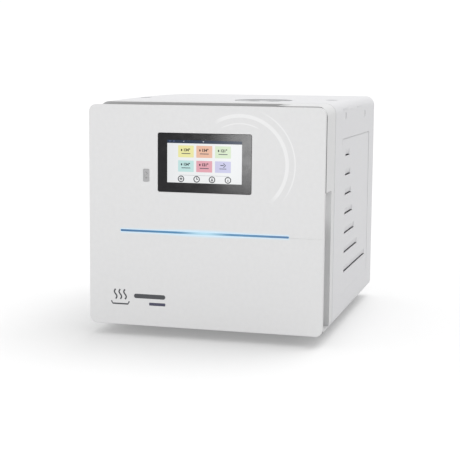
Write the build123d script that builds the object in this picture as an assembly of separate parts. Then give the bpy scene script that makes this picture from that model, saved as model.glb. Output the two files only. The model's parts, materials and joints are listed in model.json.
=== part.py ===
"""Benchtop steam sterilizer (autoclave) of about 22 litres.

Millimetres. X runs to the viewer's right when facing the door, Y runs from the door to the
back, Z is up. The origin is on the bench, under the middle of the cabinet.
The pressure chamber lies along Y behind a thick door that is hinged at its left rear edge.
Water tanks sit above the chamber, pumps and steam generator beside it near the floor.
"""
import os
from math import cos, radians, sin, sqrt

from build123d import *

# ---------------------------------------------------------------- driving dimensions
width = 480.0                # cabinet and door, over all
depth = 600.0                # door face to rear edge of the cover
feet_gap = 22.0              # bench to underside
panel_height = 441.0         # front panel
crown_rise = 10.8            # highest line of the top above the front panel's top edge
crown_peak_y = 200.0         # where the top is highest
crown_radius = 14150.0       # long, gentle curve of the top
top_corner_r = 20.0
bottom_corner_r = 15.0
cover_wall = 3.0
fit = 0.3                    # gap between neighbouring fixed pieces
slide_fit = 0.3              # gap each side of a sliding piece
pin_fit = 0.05               # radial gap of a pin that turns in its bore

door_thickness = 94.0        # front face to rear face
door_gap = 2.2               # seam between door and cabinet
panel_thick = 6.0
panel_corner_r = 15.0
panel_gap = 1.5              # seal between front panel and door housing
panel_inset = 0.8            # front panel narrower than the housing on each side
seal_w = 8.0                 # width of that seal
seal_show = 0.5              # how far it stands above the panel's top edge
housing_wall = 3.0

sheet = 2.5                  # base, bulkhead and rear panel sheet
bulkhead_inset = 4.0         # bulkhead behind the cabinet's front edge
rear_inset = 13.0            # rear panel inside the cover's rear edge

chamber_z = 190.0            # height of the chamber's axis
chamber_bore_r = 125.0
chamber_wall = 2.5
chamber_depth = 430.0
collar_r = 142.0
collar_thick = 4.0
insulation_thick = 19.0

# ---------------------------------------------------------------- derived places
half_w = width / 2
front_y = -depth / 2
rear_y = depth / 2
floor_z = feet_gap
panel_top_z = floor_z + panel_height
crown_peak_z = panel_top_z + crown_rise
door_rear_y = front_y + door_thickness
cabinet_y = door_rear_y + door_gap
panel_rear_y = front_y + panel_thick
housing_y = panel_rear_y + panel_gap
bulkhead_y = cabinet_y + bulkhead_inset
bulkhead_rear_y = bulkhead_y + sheet
rear_panel_y = rear_y - rear_inset           # outer face of the rear panel
rear_panel_in_y = rear_panel_y - sheet
base_top_z = floor_z + sheet
chamber_outer_r = chamber_bore_r + chamber_wall
heater_r = chamber_outer_r + 0.5
heater_thick = 3.0
insulation_in_r = heater_r + heater_thick + fit
insulation_r = insulation_in_r + insulation_thick
chamber_end_y = cabinet_y + chamber_depth    # start of the dished end
dish_rise = 18.0

os.makedirs("parts", exist_ok=True)
nodes = {}


def keep(name, shape):
    """Remember a sub-part under its node name."""
    nodes[name] = shape


def group(pieces):
    """Separate solids that share one node."""
    solids = [solid for piece in pieces for solid in piece.solids()]
    return Compound(children=solids)


# ---------------------------------------------------------------- plain shapes
def block(x0, x1, y0, y1, z0, z1):
    """Box between two corners."""
    return Pos((x0 + x1) / 2, (y0 + y1) / 2, (z0 + z1) / 2) * Box(x1 - x0, y1 - y0, z1 - z0)


def rod_x(radius, x0, x1, y, z):
    return Pos((x0 + x1) / 2, y, z) * Rot(0, 90, 0) * Cylinder(radius, x1 - x0)


def rod_y(radius, y0, y1, x, z):
    return Pos(x, (y0 + y1) / 2, z) * Rot(90, 0, 0) * Cylinder(radius, y1 - y0)


def rod_z(radius, z0, z1, x, y):
    return Pos(x, y, (z0 + z1) / 2) * Cylinder(radius, z1 - z0)


def ring_y(outer_r, inner_r, y0, y1, x, z):
    return rod_y(outer_r, y0, y1, x, z) - rod_y(inner_r, y0 - 1, y1 + 1, x, z)


def slab_y(size_x, size_z, radius, y0, y1, x, z):
    """Plate that faces the front, with rounded corners."""
    plane = Plane(origin=(x, y1, z), x_dir=(1, 0, 0), z_dir=(0, -1, 0))
    return extrude(plane * RectangleRounded(size_x, size_z, radius), y1 - y0)


def slab_x(size_y, size_z, radius, x0, x1, y, z):
    """Plate that faces the side, with rounded corners."""
    plane = Plane(origin=(x0, y, z), x_dir=(0, 1, 0), z_dir=(1, 0, 0))
    return extrude(plane * RectangleRounded(size_y, size_z, radius), x1 - x0)


def slab_z(size_x, size_y, radius, z0, z1, x, y):
    """Plate that lies flat, with rounded corners."""
    return extrude(Plane(origin=(x, y, z0)) * RectangleRounded(size_x, size_y, radius), z1 - z0)


def hex_y(across_flats, y0, y1, x, z):
    """Hexagon bar along Y."""
    plane = Plane(origin=(x, y1, z), x_dir=(1, 0, 0), z_dir=(0, -1, 0))
    return extrude(plane * RegularPolygon(across_flats / sqrt(3), 6), y1 - y0)


# ---------------------------------------------------------------- the cabinet's outer form
def crown_z(y, inset=0.0):
    """Height of the top surface at a depth."""
    radius = crown_radius - inset
    return crown_peak_z - crown_radius + sqrt(radius ** 2 - (y - crown_peak_y) ** 2)


def case_block(y0, y1, inset=0.0):
    """Solid of the outer form between two depths, drawn in on every side by an inset."""
    middle = (y0 + y1) / 2
    low = floor_z + inset
    outline = [
        Line((y0, low), (y1, low)),
        Line((y1, low), (y1, crown_z(y1, inset))),
        ThreePointArc((y1, crown_z(y1, inset)), (middle, crown_z(middle, inset)), (y0, crown_z(y0, inset))),
        Line((y0, crown_z(y0, inset)), (y0, low)),
    ]
    solid = extrude(Plane.YZ * make_face(outline), half_w - inset, both=True)
    mid_z = (low + crown_z(middle, inset)) / 2
    long_edges = [edge for edge in solid.edges()
                  if abs(abs(edge.center().X) - (half_w - inset)) < 0.01
                  and abs(edge.center().Y - middle) < 0.5 * (y1 - y0) - 0.01]
    solid = fillet([edge for edge in long_edges if edge.center().Z > mid_z], top_corner_r - inset)
    middle_edges = [edge for edge in solid.edges()
                    if abs(abs(edge.center().X) - (half_w - inset)) < 0.01
                    and abs(edge.center().Z - low) < 0.01]
    return fillet(middle_edges, bottom_corner_r - inset)


# ---------------------------------------------------------------- cover with louvres
field_y0, field_y1 = -125.0, 230.0       # shallow field on each side
field_z0, field_z1 = 73.5, 395.0
field_depth_top, field_depth_low = 0.9, 0.3      # the field runs out towards its foot
field_corner_r = 8.0
louvre_front_y = -81.0
louvre_lengths = (52.0, 67.0, 78.0, 98.0, 125.0, 169.0, 278.0)   # from the top row down
louvre_top_z = 358.5
louvre_pitch = 40.75
louvre_slot = 2.2                # height of the cut slit
scoop_height = 12.0              # pressed-in slope above the slit
scoop_depth = 3.5
scoop_end = 6.0                  # run of the sloped ends
scoop_wall = 1.8
groove_w, groove_depth = 1.3, 1.9        # pressed line along the field's top edge
groove_tick = 13.0                       # its turn down at the front end
depth_reach = depth / 2              # longer than any louvre
dimple_r = 7.5
dimple_depth = 1.0
dimple_places = ((-90.0, 441.0), (160.0, 438.0))   # depth and height, each side

dish_x, dish_y = 71.0, -110.0            # filler dish in the top
dish_r = 60.0
dish_depth = 6.0
neck_r = 35.0
neck_bore_r = 31.0
well_r = 13.0                            # screw wells in the top
well_depth = 5.0
well_x, well_y = 204.0, -55.0


def louvre_rows():
    """Centre depth, height and length of each louvre."""
    for row, length in enumerate(louvre_lengths):
        yield louvre_front_y + length / 2, louvre_top_z - row * louvre_pitch, length


def field_depth(z):
    """Depth of the field's floor under the side's face, at a height."""
    share = (z - field_z0) / (field_z1 - field_z0)
    return field_depth_low + share * (field_depth_top - field_depth_low)


def side_field(side):
    """Shallow field with rounded corners, deepest along its top edge."""
    face = side * half_w
    size_y, size_z = field_y1 - field_y0, field_z1 - field_z0
    x0, x1 = sorted((face - side * 2, face + side))
    plate = slab_x(size_y, size_z, field_corner_r, x0, x1, (field_y0 + field_y1) / 2,
                   (field_z0 + field_z1) / 2)
    outline = Polyline((face + side, field_z0), (face + side, field_z1),
                       (face - side * field_depth_top, field_z1),
                       (face - side * field_depth_low, field_z0), close=True)
    wedge = extrude(Plane.XZ * make_face(outline), size_y, both=True)
    return plate & wedge


def scoop(side, y, z, length, depth, grow=0.0):
    """Pressed-in slope over a slit: full depth at the foot, none at the top, sloped ends."""
    skin = side * (half_w - field_depth(z))
    outer = 1.0 if grow == 0 else -0.5
    half = length / 2 + grow
    plan = Polyline((skin + side * outer, y - half), (skin + side * outer, y + half),
                    (skin - side * depth, y + half - scoop_end), (skin - side * depth, y - half + scoop_end),
                    close=True)
    foot = z + louvre_slot / 2
    prism = extrude(Plane(origin=(0, 0, foot)) * make_face(plan), 2 * scoop_height)
    rise = scoop_height / scoop_depth
    slope = Polyline((skin + side * outer, foot), (skin - side * depth, foot),
                     (skin + side * outer, foot + (depth + outer) * rise), close=True)
    wedge = extrude(Plane.XZ * make_face(slope), 2 * depth_reach, both=True)
    return prism & wedge


def dress_side(cover, side):
    """Press the field, the louvres and the dimples into one side of the cover."""
    face = side * half_w
    cover -= side_field(side)
    groove_x0, groove_x1 = sorted((face - side * groove_depth, face + side))
    groove_y0, groove_z1 = field_y0 + field_corner_r, field_z1
    cover -= block(groove_x0, groove_x1, groove_y0, field_y1 - field_corner_r, groove_z1 - groove_w, groove_z1)
    cover -= block(groove_x0, groove_x1, groove_y0 - groove_w, groove_y0, groove_z1 - groove_tick, groove_z1)
    for y, z, length in louvre_rows():
        cover += scoop(side, y, z, length, scoop_depth + scoop_wall, 1.0)
    for y, z, length in louvre_rows():
        cover -= scoop(side, y, z, length, scoop_depth)
        x0, x1 = sorted((face - side * (cover_wall + scoop_depth + 3), face + side))
        cover -= slab_x(length, louvre_slot, louvre_slot / 2 - 0.01, x0, x1, y, z)
    for y, z in dimple_places:
        x0, x1 = sorted((face - side * dimple_depth, face + side))
        cover -= rod_x(dimple_r, x0, x1, y, z)
    return cover


def outer_cover():
    """One wrapped cover: both sides and the top."""
    shell = case_block(cabinet_y, rear_y) - case_block(cabinet_y - 1, rear_y + 1, cover_wall)
    lip_x = half_w - bottom_corner_r
    shell -= block(-lip_x, lip_x, cabinet_y - 1, rear_y + 1, floor_z - 1, floor_z + cover_wall + 1)
    surface = crown_z(dish_y)
    shell += rod_z(dish_r + cover_wall, surface - dish_depth - cover_wall, surface - cover_wall / 2,
                   dish_x, dish_y)
    shell -= rod_z(dish_r, surface - dish_depth, surface + 5, dish_x, dish_y)
    shell -= rod_z(neck_r + 1, surface - dish_depth - cover_wall - 1, surface, dish_x, dish_y)
    for side in (-1, 1):
        rim = crown_z(well_y)
        shell += rod_z(well_r + 2, rim - well_depth - 2, rim - 1, side * well_x, well_y)
        shell -= rod_z(well_r, rim - well_depth, rim + 5, side * well_x, well_y)
        shell = dress_side(shell, side)
    return shell


keep("outer_cover", outer_cover())

# ---------------------------------------------------------------- base, bulkhead, rear panel
base_half = half_w - bottom_corner_r - fit
inner_gap = cover_wall + 0.4
foot_r = 20.0
foot_x = 180.0
foot_front_y, foot_rear_y = -140.0, 172.0
fan_x, fan_z = 150.0, 240.0
fan_size = 92.0
fan_bore_r = 43.5
fan_thick = 25.0
tongue_z = (chamber_z - 60.0, chamber_z + 60.0)
tongue_x0, tongue_x1 = 200.0, 216.0
tongue_thick = 6.0
filter_x, filter_z, filter_r = -190.0, 66.0, 25.0
inlet_x, inlet_z = -180.0, 75.0
inlet_size_x, inlet_size_z = 48.0, 27.0
switch_x, switch_z = -180.0, 125.0
switch_half_x, switch_half_z = 9.0, 13.5
valve_x, valve_z = -150.0, 300.0
reset_x, reset_z = -125.0, 125.0
fuse_x = (-135.0, -115.0)
fuse_z = 75.0
spout_x = (60.0, 100.0)
spout_z = 62.0


def base_tray():
    """Floor sheet with an upturned edge behind the bulkhead and before the rear panel."""
    floor = block(-base_half, base_half, cabinet_y, rear_panel_y, floor_z, base_top_z)
    rail = 9.0
    front = block(-base_half + 20, base_half - 20, bulkhead_rear_y, bulkhead_rear_y + sheet,
                  base_top_z, base_top_z + rail)
    back = block(-base_half + 20, base_half - 20, rear_panel_in_y - sheet, rear_panel_in_y,
                 base_top_z, base_top_z + rail)
    return floor + front + back


def cross_sheet(y0, y1):
    """Upright sheet that fills the cabinet's inside, standing on the base."""
    sheet_block = case_block(y0, y1, inner_gap)
    return sheet_block - block(-half_w, half_w, y0 - 1, y1 + 1, floor_z - 1, base_top_z)


def front_bulkhead():
    """Steel front of the cabinet with the chamber's mouth and the lock slots."""
    plate = cross_sheet(bulkhead_y, bulkhead_rear_y)
    plate -= rod_y(chamber_outer_r + fit, bulkhead_y - 1, bulkhead_rear_y + 1, 0, chamber_z)
    slot_mid = (tongue_x0 + tongue_x1) / 2
    for z in tongue_z:
        plate -= slab_y(tongue_x1 - tongue_x0 + 5, tongue_thick + 3, 3, bulkhead_y - 1,
                        bulkhead_rear_y + 1, slot_mid, z)
    plate -= rod_y(filter_r + fit, bulkhead_y - 1, bulkhead_rear_y + 1, filter_x, filter_z)
    return plate


def rear_panel():
    """Rear sheet with the openings for everything that passes through it."""
    y0, y1 = rear_panel_in_y - 1, rear_panel_y + 1
    plate = cross_sheet(rear_panel_in_y, rear_panel_y)
    slot_pitch = 9.0
    for row in range(-4, 5):
        reach = sqrt((fan_bore_r - 3) ** 2 - (row * slot_pitch) ** 2)
        plate -= slab_y(2 * reach, 5.0, 2.4, y0, y1, fan_x, fan_z + row * slot_pitch)
    half_x, half_z = inlet_size_x / 2 - 4 + fit, inlet_size_z / 2 - 2 + fit
    plate -= block(inlet_x - half_x, inlet_x + half_x, y0, y1, inlet_z - half_z, inlet_z + half_z)
    plate -= slab_y(2 * (switch_half_x + fit), 2 * (switch_half_z + fit), 1, y0, y1, switch_x, switch_z)
    plate -= rod_y(8 + fit, y0, y1, valve_x, valve_z)
    plate -= rod_y(5 + fit, y0, y1, reset_x, reset_z)
    for x in fuse_x:
        plate -= rod_y(6 + fit, y0, y1, x, fuse_z)
    for x in spout_x:
        plate -= rod_y(6 + fit, y0, y1, x, spout_z)
    return plate


def foot(x, y):
    """Rubber foot, wider at the bench, with a hollow for its screw."""
    body = Pos(x, y, feet_gap / 2) * Cone(foot_r, foot_r - 3, feet_gap)
    return body - rod_z(6, -1, 6, x, y)


def cover_screw(x, y, z, along):
    """Domed screw head with a hexagon socket, 8 mm across, on a 4 mm shank."""
    head = Cylinder(4, 2.2) - Pos(0, 0, 0.8) * extrude(RegularPolygon(1.5, 6), 2)
    screw = head + Pos(0, 0, -4.1) * Cylinder(1.9, 6)
    return Pos(x, y, z) * along * screw


keep("base_tray", base_tray())
keep("front_bulkhead", front_bulkhead())
keep("rear_panel", rear_panel())
keep("foot_pads", group([foot(side * foot_x, y) for side in (-1, 1) for y in (foot_front_y, foot_rear_y)]))

# ---------------------------------------------------------------- pressure chamber
rack_wall = 2.0
rack_side_gap = 29.0                    # side sheets inside the bore, at the axis
rack_head_gap = 5.0                     # upper corners inside the bore
tray_side_gap = 4.0                     # tray to side sheet
rack_x = chamber_bore_r - rack_side_gap - rack_wall
tray_half_w = rack_x - tray_side_gap
tray_levels = (-48.0, 0.0, 48.0)        # tray floors, from the chamber's axis
tray_depth = 18.0
tray_wall = 1.2
tray_seat = 0.3                         # a tray's floor above its runners
rack_y0, rack_y1 = cabinet_y + 12.0, chamber_end_y - 18.0
flange_r = 155.0
bolt_circle_r = 149.0


def cap_rise(reach, rim):
    """Height of the dished end above its rim, at a distance from the axis: a shallow ball cap."""
    ball = (rim ** 2 + dish_rise ** 2) / (2 * dish_rise)
    return dish_rise - ball + sqrt(ball ** 2 - reach ** 2)


def pressure_chamber():
    """Stainless vessel: sealing collar, straight wall and dished end, turned as one profile."""
    inner, outer = chamber_bore_r, chamber_outer_r
    end = chamber_end_y
    mouth = cabinet_y
    lip = mouth + collar_thick
    low = end - chamber_wall
    wall_profile = make_face([
        Line((inner, mouth), (collar_r, mouth)),
        Line((collar_r, mouth), (collar_r, lip)),
        Line((collar_r, lip), (outer, lip)),
        Line((outer, lip), (outer, end)),
        ThreePointArc((outer, end), (outer / 2, end + cap_rise(outer / 2, outer)), (0, end + dish_rise)),
        Line((0, end + dish_rise), (0, low + dish_rise)),
        ThreePointArc((0, low + dish_rise), (inner / 2, low + cap_rise(inner / 2, inner)), (inner, low)),
        Line((inner, low), (inner, mouth)),
    ])
    vessel = revolve(wall_profile, Axis.Y, 360)
    vessel = Pos(0, 0, chamber_z) * vessel
    for x, z in (probe_place, sensor_place):
        vessel -= rod_y(2.5 + pin_fit, end - 6, end + dish_rise + 2, x, z)
    return vessel


probe_place = (-40.0, chamber_z + 50.0)
sensor_place = (40.0, chamber_z + 50.0)


def mouth_bolts(radius, head_r, y0, y1, y2):
    """Bolts round the mouth: head from y0 to y1, shank to y2."""
    bolts = []
    for turn in range(8):
        angle = radians(22.5 + 45 * turn)
        x, z = radius * cos(angle), chamber_z + radius * sin(angle)
        bolts.append(rod_y(head_r, y0, y1, x, z) + rod_y(2.5, y1 - 0.5, y2, x, z))
    return bolts


def drilled(plate, radius, hole_r, y0, y1):
    """Drill the mouth's eight bolt holes through a plate."""
    for turn in range(8):
        angle = radians(22.5 + 45 * turn)
        plate -= rod_y(hole_r, y0, y1, radius * cos(angle), chamber_z + radius * sin(angle))
    return plate


keep("pressure_chamber", pressure_chamber())
flange = ring_y(flange_r, chamber_outer_r + 0.1, bulkhead_rear_y, bulkhead_rear_y + 8, 0, chamber_z)
bolt_y0 = bulkhead_y - 3.0
keep("chamber_flange", drilled(flange, bolt_circle_r, 2.6, bulkhead_rear_y - 1, bulkhead_rear_y + 9))
nodes["front_bulkhead"] = drilled(nodes["front_bulkhead"], bolt_circle_r, 2.6, bulkhead_y - 1,
                                  bulkhead_rear_y + 1)
keep("flange_bolts", group(mouth_bolts(bolt_circle_r, 4.5, bolt_y0, bulkhead_y, bulkhead_rear_y + 8)))
insulation_y0 = bulkhead_rear_y + 8 + fit
keep("chamber_insulation", ring_y(insulation_r, insulation_in_r, insulation_y0, chamber_end_y + 12, 0, chamber_z))
keep("band_heater", ring_y(heater_r + heater_thick, heater_r, -80, 110, 0, chamber_z))


def cradle(y):
    """Upright saddle under the lagged chamber."""
    plate = block(-95, 95, y, y + sheet, base_top_z, chamber_z - 105)
    flange_foot = block(-95, 95, y, y + 18, base_top_z, base_top_z + sheet)
    return plate + flange_foot - rod_y(insulation_r + fit, y - 1, y + 20, 0, chamber_z)


keep("chamber_cradles", group([cradle(-120), cradle(150)]))

# ---------------------------------------------------------------- tray rack and trays
runner = 6.0
seat_r = chamber_bore_r - 0.4            # the rack's lower corners rest on the bore
rack_low_z = chamber_z - sqrt(seat_r ** 2 - (rack_x + rack_wall) ** 2)
rack_top_z = chamber_z + sqrt((chamber_bore_r - rack_head_gap) ** 2 - (rack_x + rack_wall) ** 2)
slot_pitch_x, slot_margin = 32.0, 16.0   # drain slots in a tray's floor


def tray_rack():
    """Two upright side sheets with folded runners, joined by round bars."""
    rack = None
    for side in (-1, 1):
        x0, x1 = sorted((side * rack_x, side * (rack_x + rack_wall)))
        sheet_side = block(x0, x1, rack_y0, rack_y1, rack_low_z, rack_top_z)
        for y in (rack_y0 + 85, (rack_y0 + rack_y1) / 2, rack_y1 - 85):
            for z in (chamber_z - 24, chamber_z + 24):
                window = slab_x(100, 30, 6, x0 - 1, x1 + 1, y, z)
                sheet_side -= window
        rack = sheet_side if rack is None else rack + sheet_side
        for level in tray_levels:
            z = chamber_z + level - tray_wall - tray_seat
            r0, r1 = sorted((side * (rack_x + 0.5), side * (rack_x - runner)))
            rack += block(r0, r1, rack_y0 + 4, rack_y1 - 4, z - 1.5, z)
    for y in (rack_y0 + 20, rack_y1 - 20):
        rack += rod_x(2.5, -rack_x - 0.5, rack_x + 0.5, y, rack_low_z + 8)
    return rack


def tray(level):
    """Shallow perforated instrument tray with rolled rim."""
    z = chamber_z + level - tray_wall
    y0, y1 = rack_y0 + 6, rack_y1 - 6
    mid_y = (y0 + y1) / 2
    outer = slab_z(2 * tray_half_w, y1 - y0, 10, z, z + tray_depth, 0, mid_y)
    inner = slab_z(2 * (tray_half_w - tray_wall), y1 - y0 - 2 * tray_wall, 10 - tray_wall,
                   z + tray_wall, z + tray_depth + 1, 0, mid_y)
    dish = outer - inner
    columns = int((tray_half_w - slot_margin) // slot_pitch_x)
    for column in range(-columns, columns + 1):
        for row in range(-4, 5):
            dish -= slab_z(20, 6, 2.9, z - 1, z + tray_wall + 1, column * slot_pitch_x, mid_y + row * 40)
    return dish


keep("tray_rack", tray_rack())
for name, level in zip(("tray_lower", "tray_middle", "tray_upper"), tray_levels):
    keep(name, tray(level))

# ---------------------------------------------------------------- tanks over the chamber
shelf_z = chamber_z + flange_r + 1.5
tank_top_z = panel_top_z - 20.0
tank_wall = 3.0
tank_y0, tank_y1 = bulkhead_rear_y + 4.0, 130.0
tank_gap = 12.0


def tank_shelf():
    """Sheet shelf between bulkhead and rear panel, with folded front and rear edges."""
    half = half_w - inner_gap - 4
    shelf = block(-half, half, bulkhead_rear_y, rear_panel_in_y, shelf_z, shelf_z + sheet)
    fold = 14.0
    shelf += block(-half, half, bulkhead_rear_y, bulkhead_rear_y + sheet, shelf_z + sheet, shelf_z + fold)
    shelf += block(-half, half, rear_panel_in_y - sheet, rear_panel_in_y, shelf_z + sheet, shelf_z + fold)
    return shelf


def tank(side):
    """Blown plastic tank with rounded corners."""
    x0, x1 = sorted((side * tank_gap / 2, side * (half_w - 14)))
    mid_x, mid_y = (x0 + x1) / 2, (tank_y0 + tank_y1) / 2
    low = shelf_z + sheet
    outer = slab_z(x1 - x0, tank_y1 - tank_y0, 14, low, tank_top_z, mid_x, mid_y)
    outer = fillet(outer.faces().sort_by(Axis.Z)[-1].edges(), 6)
    inner = slab_z(x1 - x0 - 2 * tank_wall, tank_y1 - tank_y0 - 2 * tank_wall, 14 - tank_wall,
                   low + tank_wall, tank_top_z - tank_wall, mid_x, mid_y)
    return outer, inner


clean_outer, clean_inner = tank(1)
neck_top_z = crown_z(dish_y) - dish_depth - cover_wall - fit
clean_outer += rod_z(neck_r, tank_top_z - 2, neck_top_z, dish_x, dish_y)
clean_outer -= rod_z(neck_bore_r, tank_top_z - tank_wall - 1, neck_top_z + 1, dish_x, dish_y)
used_outer, used_inner = tank(-1)
keep("clean_water_tank", clean_outer - clean_inner)
keep("used_water_tank", used_outer - used_inner)
keep("tank_shelf", tank_shelf())

# lid of the clean water tank, in the dish of the cover
lid_r = dish_r - 0.8
lid_top_z = crown_z(dish_y) - 1.5
dish_floor_z = crown_z(dish_y) - dish_depth


def tank_lid():
    """Round lid that drops into the dish, with two finger hollows and a skirt in the neck."""
    lid = rod_z(lid_r, dish_floor_z, lid_top_z, dish_x, dish_y)
    for side in (-1, 1):
        lid -= slab_z(26, 44, 12, lid_top_z - 3, lid_top_z + 1, dish_x + side * 22, dish_y)
    skirt = rod_z(neck_bore_r - 1.5, dish_floor_z - 14, dish_floor_z, dish_x, dish_y)
    skirt -= rod_z(neck_bore_r - 4, dish_floor_z - 15, dish_floor_z - 1, dish_x, dish_y)
    return lid + skirt


keep("tank_lid", tank_lid())

# ---------------------------------------------------------------- steam, vacuum and water
corner_x = 192.0                         # middle of the free corners beside the chamber
steam_r = 38.0
steam_z = base_top_z + 8 + steam_r
steam_y0, steam_y1 = -15.0, 185.0


def steam_generator():
    """Pressure tube with flanged ends, heater terminals and two feet."""
    x = -corner_x
    body = rod_y(steam_r - 4, steam_y0, steam_y1, x, steam_z)
    for y in (steam_y0, steam_y1 - 8):
        body += rod_y(steam_r, y, y + 8, x, steam_z)
    for dx in (-12, 12):
        body += rod_y(4, steam_y1 - 1, steam_y1 + 22, x + dx, steam_z)
    for y in (steam_y0 + 30, steam_y1 - 40):
        body += block(x - 26, x + 26, y, y + 10, base_top_z, steam_z - 12)
    return body + rod_z(6, steam_z, steam_z + steam_r + 14, x, steam_y0 + 60)


def vacuum_pump():
    """Diaphragm pump: finned motor, head block and a rubber-footed plate."""
    x, z = corner_x - 2, base_top_z + 45
    y0, y1 = 40.0, 210.0
    plate = block(x - 38, x + 38, y0, y1, base_top_z + 8, base_top_z + 11)
    for dx in (-28, 28):
        for y in (y0 + 12, y1 - 12):
            plate += rod_z(6, base_top_z, base_top_z + 9, x + dx, y)
    pump = plate + rod_y(32, y0 + 58, y1 - 6, x, z)
    pump += block(x - 36, x + 36, y0 + 4, y0 + 60, base_top_z + 11, z + 36)
    pump += block(x - 20, x + 20, y0 + 62, y1 - 10, base_top_z + 10, z - 20)
    for row in range(7):
        pump += rod_y(34.5, y0 + 68 + row * 11, y0 + 72 + row * 11, x, z)
    return pump


def water_pump():
    """Small vibration pump on a bracket."""
    x, z = corner_x, base_top_z + 34
    bracket = block(x - 24, x + 24, -110, -40, base_top_z, base_top_z + 3)
    bracket += block(x - 24, x + 24, -78, -72, base_top_z + 2, z)
    pump = bracket + rod_y(19, -105, -50, x, z) + rod_y(8, -124, -104, x, z)
    return pump + rod_y(5, -51, -28, x, z)


def bacteriological_filter():
    """Round filter whose face shows in the bulkhead."""
    y0 = bulkhead_y - 2.5
    can = rod_y(filter_r, y0, y0 + 40, filter_x, filter_z)
    can -= ring_y(filter_r - 4, filter_r - 8, y0 - 1, y0 + 1.2, filter_x, filter_z)
    rim = ring_y(filter_r + 3, filter_r - 2, bulkhead_rear_y, bulkhead_rear_y + 4, filter_x, filter_z)
    barb = rod_y(5, y0 + 39, y0 + 56, filter_x, filter_z)
    return can + rim + barb


condenser_x0, condenser_x1 = 158.0, 222.0
condenser_y0 = 100.0
fan_y0 = rear_panel_in_y - fan_thick
condenser_z0, condenser_z1 = fan_z - 62, fan_z + 62


def condenser():
    """Finned heat exchanger with a header at each end and a leg to the base."""
    x0, x1 = condenser_x0, condenser_x1
    y1 = fan_y0 - fit
    core = block(x0 + 4, x1 - 4, y1 - 12, y1, condenser_z0, condenser_z1)
    core += block(x0 + 4, x1 - 4, condenser_y0, condenser_y0 + 12, condenser_z0, condenser_z1)
    for row in range(12):
        z = condenser_z0 + 6 + row * (condenser_z1 - condenser_z0 - 12) / 11
        core += block(x0, x1, condenser_y0 + 10, y1 - 10, z - 1, z + 1)
    for dx in (16, 32, 48):
        core += rod_z(4, condenser_z0 + 6, condenser_z1 - 6, x0 + dx, (condenser_y0 + y1) / 2)
    leg_x = x1 - 8
    core += block(leg_x, leg_x + 4, y1 - 12, y1, base_top_z, condenser_z0 + 1)
    return core + block(leg_x - 14, leg_x + 4, y1 - 12, y1, base_top_z, base_top_z + 3)


valve_row_y = (-150.0, -112.0, -74.0, -36.0)
manifold_z = 128.0


def valve_manifold():
    """Brass block with a leg to the base and one seat per valve."""
    x0, x1 = -232.0, -206.0
    bar = block(x0, x1, valve_row_y[0] - 16, valve_row_y[-1] + 16, manifold_z, manifold_z + 22)
    for y in (valve_row_y[0] - 10, valve_row_y[-1] + 4):
        bar += block(x0 + 10, x0 + 14, y, y + 8, base_top_z, manifold_z + 1)
    for y in valve_row_y:
        bar += rod_z(5, manifold_z + 21, manifold_z + 58, (x0 + x1) / 2, y)
    return bar


def valve_coil(y):
    x = -219.0
    coil = slab_z(26, 28, 4, manifold_z + 24, manifold_z + 52, x, y)
    return coil - rod_z(5.1, manifold_z + 23, manifold_z + 53, x, y)


keep("steam_generator", steam_generator())
keep("vacuum_pump", vacuum_pump())
keep("water_pump", water_pump())
keep("bacteriological_filter", bacteriological_filter())
keep("condenser", condenser())
keep("valve_manifold", valve_manifold())
keep("valve_coils", group([valve_coil(y) for y in valve_row_y]))

# ---------------------------------------------------------------- fan
fan_hub_r = 18.0
fan_tip_r = 41.5
shaft_r = 2.0


def fan_frame():
    """Square frame with a round duct and a spider that holds the bearing."""
    y0, y1 = fan_y0, rear_panel_in_y
    frame = slab_y(fan_size, fan_size, 5, y0, y1, fan_x, fan_z)
    frame -= rod_y(fan_bore_r, y0 - 1, y1 + 1, fan_x, fan_z)
    spider = rod_y(fan_hub_r, y0, y0 + 3, fan_x, fan_z)
    for turn in range(4):
        arm = block(-fan_bore_r - 1, 0, y0, y0 + 3, -3, 3)
        spider += Pos(fan_x, 0, fan_z) * Rot(0, 45 + 90 * turn, 0) * arm
    spider += rod_y(5, y0 + 2, y0 + 9, fan_x, fan_z)
    spider -= rod_y(shaft_r + pin_fit, y0 - 1, y0 + 10, fan_x, fan_z)
    return frame + spider


def fan_rotor():
    """Cup-shaped hub with seven pitched blades on a steel shaft."""
    y0, y1 = fan_y0 + 4.5, rear_panel_in_y - 3.0
    hub = rod_y(fan_hub_r, y0, y1, fan_x, fan_z)
    hub -= rod_y(fan_hub_r - 2.5, y0 - 1, y1 - 3, fan_x, fan_z)
    hub += rod_y(shaft_r, fan_y0 + 1, y1 - 2.9, fan_x, fan_z)
    length = fan_tip_r - fan_hub_r + 1.5
    chord = y1 - y0 - 2
    for turn in range(7):
        blade = Pos(fan_hub_r - 1.5 + length / 2, 0, 0) * Rot(35, 0, 0) * Box(length, chord, 1.6)
        hub += Pos(fan_x, (y0 + y1) / 2, fan_z) * Rot(0, turn * 360 / 7, 0) * blade
    return hub


keep("fan_frame", fan_frame())
keep("fan_rotor", fan_rotor())

# ---------------------------------------------------------------- electronics
shelf_top_z = shelf_z + sheet


def board(x0, x1, y0, y1, z, parts):
    """Circuit board on four posts, with plain component blocks."""
    plate = block(x0, x1, y0, y1, z, z + 1.6)
    for x in (x0 + 5, x1 - 5):
        for y in (y0 + 5, y1 - 5):
            plate += rod_z(3, shelf_top_z, z + 0.5, x, y)
    for px, py, sx, sy, sz in parts:
        plate += block(px, px + sx, py, py + sy, z + 1, z + 1.6 + sz)
    return plate


def power_supply():
    """Perforated metal box with a terminal strip."""
    box = block(-205, -85, 150, 262, shelf_top_z, shelf_top_z + 48)
    box += block(-195, -95, 138, 151, shelf_top_z, shelf_top_z + 16)
    for row in range(6):
        box -= block(-190 + row * 17, -182 + row * 17, 165, 245, shelf_top_z + 46, shelf_top_z + 49)
    return box


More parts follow.
